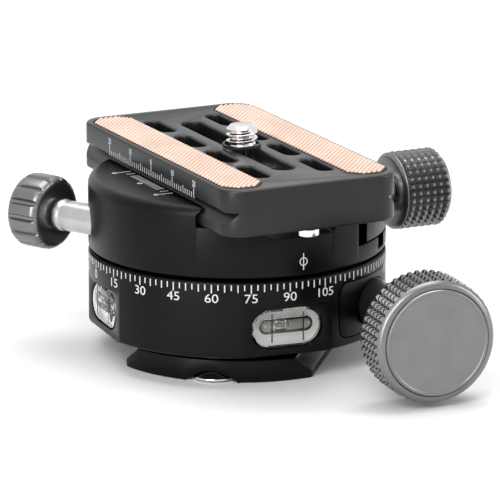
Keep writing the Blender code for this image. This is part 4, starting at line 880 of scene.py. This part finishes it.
def make_worm():
    """The worm's helix, then its shaft out to the knob."""
    z1 = WORM_SHAFT_HIGH.z
    half = 0.0056
    pitch_r, addendum, dedendum = 0.004, 0.0006, 0.0009
    pitch = math.tau * 0.017 / 40
    shaft = new_piece("worm_shaft_turned", lathe(soften([
        (0, WORM_SHAFT_LOW.z), (0.003, WORM_SHAFT_LOW.z), (0.003, -half), (pitch_r - dedendum - 0.0001, -half),
        (pitch_r - dedendum - 0.0001, half), (0.003, half), (0.003, 0.0203), (SHAFT_R, 0.0203),
        (SHAFT_R, GEAR_LOW.z - GAP), (0.003, GEAR_LOW.z - GAP), (0.003, z1), (0, z1)], SOFT_EDGE), ROUND), WORM)
    around, rows = 48, 60

    def helix(shape):
        grid = []
        for j in range(rows + 1):
            height = -half + 2 * half * j / rows
            ring = []
            for k in range(around):
                phase = height / pitch - k / around
                off = abs((phase + 0.5) % 1 - 0.5) * pitch
                tooth = (0.00037 - off) / math.tan(math.radians(20))
                radius = pitch_r + max(-dedendum, min(addendum, tooth))
                angle = math.tau * k / around
                ring.append(shape.verts.new((-radius * math.cos(angle), -radius * math.sin(angle), height)))
            grid.append(ring)
        for first, second in zip(grid, grid[1:]):
            join_rings(shape, first, second)
        shape.faces.new(grid[0])
        shape.faces.new(grid[-1])
    thread = new_piece("worm_thread", helix, WORM)
    combine(shaft, "UNION", thread)
    shaft.data.shade_smooth()
    shaft.data.set_sharp_from_angle(angle=math.radians(35))
    dress(shaft, "worm", "shaft_grey", "worm_shaft")


# Upper body

def jaw_side(shift=0):
    """The clamp's undercut on the +X side, from the groove floor up."""
    return [(JAW_WALL_X + shift, GROOVE_Z), (JAW_WALL_X + shift, PLATE_LOW.z + LIP_H),
            (LIP_TOP_X + shift, ROTOR_Z1), (LIP_TOP_X + shift, ROTOR_Z1 + OVER)]


def body_profile(inner):
    """The upper body's outside, with its rounded top edge."""
    steps = 8
    arc = [(BODY_R - ROTOR_EDGE + ROTOR_EDGE * math.sin(math.pi / 2 * k / steps),
            ROTOR_Z1 - ROTOR_EDGE + ROTOR_EDGE * math.cos(math.pi / 2 * k / steps))
           for k in range(steps + 1)]
    return [(0, ROTOR_Z1)] + arc + [(BODY_R, ROTOR_Z0 + BASE_EDGE), (BODY_R - BASE_EDGE, ROTOR_Z0)] + inner


LOCK_BORE_R = 0.0037


def make_rotor():
    recess_r = 0.0173
    recess_z = 0.0263
    rotor = new_piece("upper_body_shell", lathe(body_profile([(recess_r, ROTOR_Z0), (recess_r, recess_z),
                                                        (0, recess_z)]), FINE), ROTOR)
    reach = BODY_R + OVER
    groove = [(-x, z) for x, z in jaw_side()]
    groove += [(JAW_LOW.x, ROTOR_Z1 + OVER), (JAW_LOW.x, GROOVE_Z)]
    seat_r = 0.0057
    bolt_r = 0.0033
    seat_z = 0.0292
    cutters = [
        new_piece("groove", along_y(groove, -reach, reach), ROTOR),
        new_piece("jaw_room", block((JAW_SLOT_X0, -reach, JAW_FLOOR_Z), (reach, reach, ROTOR_Z1 + OVER)),
                  ROTOR),
        new_piece("ledge_slot", block((LEDGE_SLOT_X0, -reach, JAW_FLOOR_Z - LEDGE_SLOT_H),
                                      (LEDGE_SLOT_X0 + LEDGE_SLOT_W, reach, JAW_FLOOR_Z + OVER)), ROTOR),
        new_piece("seat", tube(seat_r, (0, 0, seat_z), (0, 0, GROOVE_Z + OVER)), ROTOR),
        new_piece("bolt_hole", tube(bolt_r, (0, 0, recess_z - OVER), (0, 0, GROOVE_Z)), ROTOR),
        new_piece("lock_bore", tube(LOCK_BORE_R, (0, 0, -0.0083), (0, 0, BODY_R + OVER)), LOCK),
    ]
    stop_inner = 0.0092
    for side in (-1, 1):
        ends = sorted((side * stop_inner, side * reach))
        outline = rounded_box(0.0074, 0.0023, 0.001, (0, GROOVE_Z))
        cutters.append(new_piece("stop_room", along_y(outline, *ends), ROTOR))
        for node in (f"jaw_guide_pin_{'near' if side < 0 else 'far'}",):
            low, high = local_box(node, ROTOR)
            y, z = (low.y + high.y) / 2, (low.z + high.z) / 2
            cutters.append(new_piece("pin_hole", tube(0.0017, (low.x - GAP, y, z),
                                                      (JAW_SLOT_X0 + OVER, y, z), 24), ROTOR))
            cutters.append(new_piece("spring_seat", tube(0.0026, (0.010, y, z),
                                                         (JAW_SLOT_X0 + OVER, y, z), 32), ROTOR))
    cutters.append(new_piece("thread", tube(0.0028, (0.0085, 0, CLAMP.translation.z),
                                            (JAW_SLOT_X0 + OVER, 0, CLAMP.translation.z), 32), ROTOR))
    cutters.append(new_piece("boss_seat", tube(0.0049, (BODY_R - 0.0005, 0, CLAMP.translation.z),
                                               (reach, 0, CLAMP.translation.z), 64), ROTOR))
    combine(rotor, "DIFFERENCE", *cutters)
    edge_round(rotor)
    dress(rotor, "rotor", "black_anodised", "rotor_body")


def make_jaw():
    reach = BODY_R + OVER
    outline = [(JAW_LOW.x, JAW_LOW.z), (reach, JAW_LOW.z), (reach, ROTOR_Z1)]
    outline += list(reversed(jaw_side()[:3])) + [(JAW_LOW.x, GROOVE_Z)]
    jaw = new_piece("jaw_block", along_y(outline, -reach, reach), ROTOR)
    outside = new_piece("outside", lathe(body_profile([(0, ROTOR_Z0)]), FINE), ROTOR)
    combine(jaw, "INTERSECT", outside)
    z = CLAMP.translation.z
    cutters = [new_piece("way", tube(0.0028, (0, 0, z), (reach, 0, z)), ROTOR),
               new_piece("seat", tube(0.0049, (BODY_R - 0.0005, 0, z), (reach, 0, z)), ROTOR)]
    for end in ("near", "far"):
        low, high = local_box(f"jaw_guide_pin_{end}", ROTOR)
        y, pin_z = (low.y + high.y) / 2, (low.z + high.z) / 2
        cutters.append(new_piece("pin", tube(0.0017, (JAW_LOW.x - OVER, y, pin_z),
                                             (high.x + GAP, y, pin_z), 24), ROTOR))
    combine(jaw, "DIFFERENCE", *cutters)
    edge_round(jaw)
    dress(jaw, "jaw", "black_anodised", "moving_jaw")


INDEX_AZIMUTH = math.radians(-84.56)
INDEX_Z = 0.02545


def make_index_mark():
    def build(shape):
        place = on_cylinder(BODY_R)
        x = BODY_R * INDEX_AZIMUTH
        add_ring(shape, x, INDEX_Z, 0.00078, 0.00018, place)
        add_bar(shape, x, INDEX_Z - 0.0017, INDEX_Z + 0.0017, 0.0002, place)
    mark = new_piece("index_mark_print", build)
    dress(mark, "rotor", "white_ink")


TOP_MARKS = ((-10, 0.0032, True), (-8, 0.0018, False), (-6, 0.0018, False), (-5, 0.0018, False),
             (-4, 0.0018, False), (-3, 0.0018, False), (-2, 0.0018, False), (-1, 0.0018, False),
             (0, 0.0022, True), (1, 0.0018, False), (2, 0.0018, False), (3, 0.0018, False),
             (4, 0.0018, False), (5, 0.0018, False), (6, 0.0018, False), (8, 0.0018, False),
             (10, 0.0032, True))


def make_top_marks():
    """Lines on the upper body's top, against which the plate's scale is read."""
    def build(shape):
        place = on_plane(ROTOR @ Vector((-LIP_TOP_X - 0.0001, 0, ROTOR_Z1)),
                         ROTOR.to_3x3() @ Vector((0, -1, 0)), ROTOR.to_3x3() @ Vector((1, 0, 0)))
        for along, length, ringed in TOP_MARKS:
            x = -along * 0.001
            add_bar(shape, x, -length - 0.0008, -0.0008, 0.0002, place)
            if ringed:
                add_ring(shape, x, -length - 0.0012, 0.0004, 0.00022, place, 16)
    marks = new_piece("top_marks_print", build)
    dress(marks, "rotor", "white_ink")


# Clamp knob

def make_clamp_knob():
    low, high = local_box("clamp_knob", CLAMP)
    z0, z1, r = 0.0343, high.z + 0.0004, high.x
    r = max(r, high.y)
    boss_r = 0.0042
    dish_r = 0.0068
    dish_z = z0 + 0.0003
    tail = local_box("clamp_screw", CLAMP)[1].z
    bore = 0.0028
    depth = 0.0009
    before = soften([(0, tail + GAP), (bore, tail + GAP), (bore, z0 + 0.0006), (boss_r + GAP, z0 + 0.0006),
                     (boss_r + GAP, z0), (r - 0.0008, z0), (r - 0.0001, z0 + 0.0006),
                     (r - 0.0001, z0 + 0.0008), (r - depth, z0 + 0.001), (r - depth, z0 + 0.0011)],
                    SOFT_EDGE)[:-1]
    after = soften([(r - depth, z1 - 0.0007), (r - depth, z1 - 0.0005), (r - 0.0011, z1), (0.003, z1),
                    (0, z1)], SOFT_EDGE)[1:]
    knob = new_piece("clamp_knob_body", knurled(32, 6, r, depth, z0 + 0.0011, z1 - 0.0005, 0.34,
                                                before, after), CLAMP, math.radians(20))
    dress(knob, "clamp", "knob_grey", "clamp_knob")
    screw_low = local_box("clamp_screw", CLAMP)[0]
    boss_z0 = 0.0307
    screw = new_piece("clamp_screw_turned", lathe(soften([
        (0, screw_low.z), (0.0022, screw_low.z), (0.0025, screw_low.z + GAP), (0.0025, boss_z0),
        (boss_r, boss_z0), (boss_r, z0 - GAP), (0.0025, z0 - GAP), (0.0025, tail), (0, tail)], SOFT_EDGE), 64),
        CLAMP)
    dress(screw, "clamp", "satin_steel", "clamp_screw")


# Lock knob

LOCK_GROOVES = 14
LOCK_GROOVE_HALF = 0.0007


def make_lock_knob():
    z0, z1 = 0.0310, 0.0388
    r = 0.0075
    per = 16
    count = LOCK_GROOVES * per
    groove_half = LOCK_GROOVE_HALF / r
    depth = 0.00062

    def radius_at(angle):
        span = math.tau / LOCK_GROOVES
        off = abs((angle + span / 2) % span - span / 2) / groove_half
        if off >= 1:
            return r
        return r - depth * min(1, (1 - off) * 1.9) - 0.00012 * math.cos(off * math.pi / 2)

    end_r = 0.0018
    steps = 7
    heights = [(z0 + end_r - end_r * math.cos(math.pi / 2 * k / steps),
                end_r - end_r * math.sin(math.pi / 2 * k / steps)) for k in range(steps + 1)]
    heights += [(z1 - end_r + end_r * math.sin(math.pi / 2 * k / steps),
                 end_r - end_r * math.cos(math.pi / 2 * k / steps)) for k in range(steps + 1)]
    angles = []
    for groove in range(LOCK_GROOVES):
        middle = math.tau * groove / LOCK_GROOVES
        inner = [-1, -0.98, -0.75, -0.5, -0.47, -0.25, 0, 0.25, 0.47, 0.5, 0.75, 0.98, 1]
        angles += [middle + groove_half * share for share in inner]
        land = math.tau / LOCK_GROOVES - 2 * groove_half
        angles += [middle + groove_half + land * k / 6 for k in range(1, 6)]

    def build(shape):
        rings = []
        for z, inset in heights:
            rings.append([shape.verts.new((min(radius_at(a), r - inset) * math.cos(a),
                                           min(radius_at(a), r - inset) * math.sin(a), z))
                          for a in angles])
        for first, second in zip(rings, rings[1:]):
            join_rings(shape, first, second)
        flat_r = r - end_r
        inner = [shape.verts.new((flat_r * 0.6 * math.cos(a), flat_r * 0.6 * math.sin(a), z1)) for a in angles]
        join_rings(shape, rings[-1], inner)
        shape.faces.new(inner)
        shape.faces.new(rings[0])
    knob = new_piece("lock_knob_body", build, LOCK, math.radians(24))
    stem_low, stem_high = local_box("lock_screw", LOCK)
    bore = new_piece("bore", tube(0.0025, (0, 0, z0 - OVER), (0, 0, stem_high.z + GAP), 48), LOCK)
    combine(knob, "DIFFERENCE", bore)
    knob.data.shade_smooth()
    knob.data.set_sharp_from_angle(angle=math.radians(24))
    dress(knob, "lock", "knob_grey", "lock_knob")
    stem_r = 0.0031
    collar_r = 0.0033
    start = 0.0185
    top = z0 - GAP
    stem = new_piece("lock_stem_turned", lathe(
        soften([(0, stem_low.z), (0.0022, stem_low.z), (0.0022, start), (stem_r, start),
                (stem_r, top - 0.0022), (collar_r, top - 0.0015), (collar_r, top - 0.0006),
                (stem_r - 0.0004, top), (0.0022, top), (0.0022, stem_high.z), (0, stem_high.z)], 0.0005, 5),
        ROUND), LOCK)
    dress(stem, "lock", "satin_steel", "lock_screw")


# Quick release plate

PLATE_HALF_W = PLATE_HIGH.x
PLATE_HALF_L = PLATE_HIGH.y
SLAB_CORNER = 0.0048
SLAB_EDGE = 0.0005
PLATE_Z0, PLATE_Z1 = PLATE_LOW.z, PLATE_HIGH.z
ROOF = 0.0032
STRIP_LOW, STRIP_HIGH = local_box("grip_strip_right", ROTOR)
STRIP_X = (STRIP_LOW.x + STRIP_HIGH.x) / 2
STRIP_HALF_W = (STRIP_HIGH.x - STRIP_LOW.x) / 2
STRIP_HALF_L = (STRIP_HIGH.y - STRIP_LOW.y) / 2
SLOT_CHAMFER = 0.0003


def slab_outline(inset=0):
    return rounded_box(PLATE_HALF_W - inset, PLATE_HALF_L - inset, SLAB_CORNER - inset, steps=14)


def flared(half_x, half_y, centre, low, top, chamfer=SLOT_CHAMFER):
    """A slot cutter with a chamfer at the plate's top face."""
    def outline(grow):
        return rounded_box(half_x + grow, half_y + grow, min(half_x, half_y) + grow, centre, 12)
    return loft([(outline(0), low), (outline(0), top - chamfer), (outline(chamfer), top),
                 (outline(chamfer), top + OVER)])


def make_plate():
    e = SLAB_EDGE
    steps = 4
    sections = [(slab_outline(e * (1 - math.sin(math.pi / 2 * k / steps))),
                 PLATE_Z0 + e * (1 - math.cos(math.pi / 2 * k / steps))) for k in range(steps + 1)]
    sections += [(slab_outline(e * (1 - math.cos(math.pi / 2 * k / steps))),
                  PLATE_Z1 - e + e * math.sin(math.pi / 2 * k / steps)) for k in range(steps + 1)]
    plate = new_piece("plate_body", loft(sections), ROTOR)
    waist = PLATE_HALF_W - DOVETAIL_BEVEL
    outer = PLATE_HALF_W + OVER
    lip_top = PLATE_Z0 + LIP_H
    reach = PLATE_HALF_L + OVER
    undercut = [(waist, SLAB_Z0), (PLATE_HALF_W - e, SLAB_Z0), (outer, SLAB_Z0 + e + OVER),
                (outer, lip_top - OVER)]
    cutters = [new_piece("undercut", along_y([(side * x, z) for x, z in undercut], -reach, reach), ROTOR)
               for side in (-1, 1)]
    cutters.append(new_piece("hollow", prism(rounded_box(0.0096, 0.0284, SLAB_CORNER), PLATE_Z0 - OVER,
                                             PLATE_Z1 - ROOF), ROTOR))
    cutters.append(new_piece("long_slot", flared(0.0023, 0.0233, (0, 0), SLAB_Z0 - OVER, PLATE_Z1), ROTOR))
    for side in (-1, 1):
        for k in range(4):
            y = (k - 1.5) * 0.0145
            cutters.append(new_piece("short_slot", flared(0.0017, 0.0054, (side * 0.0069, y),
                                                          SLAB_Z0 - OVER, PLATE_Z1), ROTOR))
        cutters.append(new_piece("strip_seat", prism(rounded_box(STRIP_HALF_W + GAP / 2, STRIP_HALF_L + GAP / 2,
                                                                 STRIP_HALF_W, (side * STRIP_X, 0), 12),
                                                     STRIP_LOW.z - GAP, PLATE_Z1 + OVER), ROTOR))
        cutters.append(new_piece("stop_hole", tube(0.0013, (0, side * 0.0318, PLATE_Z0 - OVER),
                                                   (0, side * 0.0318, PLATE_Z0 + 0.0037), 24), ROTOR))
    middle = (SLAB_Z0 + PLATE_Z1) / 2
    notch = 0.0008
    cutters.append(new_piece("side_notch", along_y([(PLATE_HALF_W - notch, middle), (outer, middle - notch - OVER),
                                                    (outer, middle + notch + OVER)], -reach, reach), ROTOR))
    for cutter in cutters:
        combine(plate, "DIFFERENCE", cutter)
    edge_round(plate, SOFT_EDGE / 3)
    dress(plate, "plate", "plate_anodised", "quick_release_plate")


PLATE_TICKS = ((10, 0.0021), (5, 0.00155), (1, 0.0011))


def make_plate_scale():
    """Millimetres on the plate's left side, read against the marks on the body."""
    def build(shape):
        place = on_plane(ROTOR @ Vector((-PLATE_HALF_W, 0, SLAB_Z0 + 0.0001)),
                         ROTOR.to_3x3() @ Vector((0, -1, 0)), UP)
        for k in range(-20, 21):
            length = next(size for step, size in PLATE_TICKS if k % step == 0)
            add_bar(shape, k * 0.001, 0, length, 0.0002, place)
            if k % 10 == 0:
                add_number(shape, str(abs(k)), k * 0.001, length + 0.00015, 0.0013, place, 0.8)
    scale = new_piece("plate_scale_print", build)
    dress(scale, "plate", "white_ink")


LUMP_PITCH = 0.00127
LUMP_ROW = 0.00109
LUMP_ALONG = 0.00042
LUMP_ACROSS = 0.00043
LUMP_H = 0.0004


def make_strip(name, side):
    z0, z1 = STRIP_LOW.z, STRIP_HIGH.z - LUMP_H
    edge = 0.0002

    def outline(grow):
        return rounded_box(STRIP_HALF_W + grow, STRIP_HALF_L + grow, STRIP_HALF_W + grow,
                           (side * STRIP_X, 0), 12)

    def build(shape):
        loft([(outline(0), z0), (outline(0), z1 - edge), (outline(-edge * 0.3), z1 - edge * 0.3),
              (outline(-edge), z1)])(shape)
        for face in shape.faces:
            face.material_index = 0
        rows = int(STRIP_HALF_W / LUMP_ROW * 2) + 1
        count = int(STRIP_HALF_L / LUMP_PITCH * 2) + 1
        for row in range(-rows, rows + 1):
            x = row * LUMP_ROW / 2
            for k in range(-count, count + 1):
                y = (k + (0.5 if row % 2 else 0)) * LUMP_PITCH
                if not inside_stadium(x, y, STRIP_HALF_W - 0.0004, STRIP_HALF_L - 0.0004):
                    continue
                add_lump(shape, side * STRIP_X + x, y, z1 - 0.00004)
    strip = new_piece(f"{name}_woven", build, ROTOR, math.radians(60))
    dress(strip, "plate", ("grip_base", "grip_land"), name)


def inside_stadium(x, y, half_w, half_l):
    straight = half_l - half_w
    return math.hypot(x, max(0, abs(y) - straight)) <= half_w


def add_lump(shape, x, y, z, around=8, levels=3):
    """One raised stitch of the strip's relief."""
    rings = []
    for level in range(levels):
        rise = math.sin(math.pi / 2 * level / levels)
        reach = math.cos(math.pi / 2 * level / levels)
        rings.append([shape.verts.new((x + LUMP_ACROSS * reach * math.cos(math.tau * k / around),
                                       y + LUMP_ALONG * reach * math.sin(math.tau * k / around),
                                       z + LUMP_H * rise)) for k in range(around)])
    rings.append([shape.verts.new((x, y, z + LUMP_H))])
    made = []
    for first, second in zip(rings, rings[1:]):
        before = len(shape.faces)
        join_rings(shape, first, second)
        made.append(before)
    base = shape.faces.new(rings[0])
    shape.faces.ensure_lookup_table()
    for face in shape.faces[made[0]:]:
        face.material_index = 1
    base.material_index = 1


# Camera screw

THREAD_PITCH = 0.00127
THREAD_DEPTH = 0.0007


def make_camera_screw():
    low, high = local_box("camera_screw", SCREW)
    r = 0.003175
    head_r, head_h = 0.0064, 0.0036
    tip = high.z + GAP
    head_top = low.z + head_h
    neck = GAP
    chamfer = 0.0008
    around = 72
    rows = 110

    def thread_radius(angle, z):
        phase = ((z - neck) / THREAD_PITCH - angle / math.tau) % 1
        off = abs(phase - 0.5) * 2
        crest = min(1, max(0, (off - 0.12) / 0.62))
        depth = THREAD_DEPTH * crest
        fade = min(1, max(0, (z - neck) / THREAD_PITCH))
        made = r - THREAD_DEPTH + (THREAD_DEPTH - depth) * fade
        return min(made, r - chamfer + (tip - z) * 1.0)

    def build(shape):
        rings = [[shape.verts.new((0, 0, low.z))]]
        for radius, z in soften([(0, low.z), (head_r, low.z), (head_r, head_top), (0.002, head_top),
                                 (0.002, neck - 0.0002), (0.0021, neck)], SOFT_EDGE)[1:-1]:
            rings.append([shape.verts.new((radius * math.cos(math.tau * k / around),
                                           radius * math.sin(math.tau * k / around), z)) for k in range(around)])
        for j in range(rows + 1):
            z = neck + (tip - neck) * j / rows
            ring = []
            for k in range(around):
                angle = math.tau * k / around
                radius = thread_radius(angle, z)
                ring.append(shape.verts.new((radius * math.cos(angle), radius * math.sin(angle), z)))
            rings.append(ring)
        for first, second in zip(rings, rings[1:]):
            join_rings(shape, first, second)
        shape.faces.new(rings[-1])
    screw = new_piece("camera_screw_threaded", build, SCREW, math.radians(50))
    coin = new_piece("coin", block((-0.0007, -head_r - OVER, low.z - OVER), (0.0007, head_r + OVER, low.z + 0.0014)),
                     SCREW)
    combine(screw, "DIFFERENCE", coin)
    screw.data.shade_smooth()
    screw.data.set_sharp_from_angle(angle=math.radians(50))
    dress(screw, "camera_screw", "chrome", "camera_screw")
    clip_low, clip_high = local_box("screw_clip", SCREW)
    clip = new_piece("screw_clip_ring", lathe(soften([
        (r + GAP, clip_high.z), (clip_high.x, clip_high.z), (clip_high.x, clip_low.z), (r + GAP, clip_low.z)],
        0.0001), 64), SCREW)
    dress(clip, "screw_carriage", "black_oxide", "screw_clip")


# Pieces that keep their CAD mesh

CARRIED = {
    "thread_insert": "satin_steel", "carrier_screw": "satin_steel", "worm_bush_front": "bronze",
    "worm_bush_rear": "bronze", "pan_bush": "bronze", "worm_wheel": "brass",
    "retaining_nut": "satin_steel", "pivot_bolt": "satin_steel", "knob_set_screw": "satin_steel",
    "pivot_washer": "satin_steel", "jaw_guide_pin_near": "satin_steel",
    "jaw_guide_pin_far": "satin_steel", "jaw_spring_near": "satin_steel",
    "jaw_spring_far": "satin_steel", "lock_bush": "bronze", "lock_cotter": "brass",
    "clamp_washer": "brass",
}


def make_carried():
    for node, shade in CARRIED.items():
        slots = frame["nodes"][node].material_slots
        for slot in slots:
            slot.material = MATERIALS[shade]


make_stage()
make_world()
area_light("key", (-0.55, -0.75, 0.75), (0, 0, 0.03), (0.5, 0.5), 6)
area_light("top", (0.05, 0.15, 0.9), (0, 0, 0.03), (0.8, 0.8), 7)
area_light("side", (0.8, -0.35, 0.35), (0, 0, 0.03), (0.3, 0.6), 3)
area_light("strip", (-0.78, -0.56, 0.25), (0, 0, 0.03), (0.28, 0.55), 4)
make_camera()
make_base()
make_carrier()
make_degree_ring()
for side, azimuth in LEVEL_AZIMUTHS.items():
    make_level("level_vial_" + side, azimuth)
make_foot()
make_screws()
make_worm()
make_gear_knob()
make_rotor()
make_jaw()
make_index_mark()
make_top_marks()
make_clamp_knob()
make_lock_knob()
make_plate()
make_plate_scale()
make_strip("grip_strip_left", -1)
make_strip("grip_strip_right", 1)
make_camera_screw()
make_carried()

bpy.context.scene.view_settings.view_transform = "Standard"
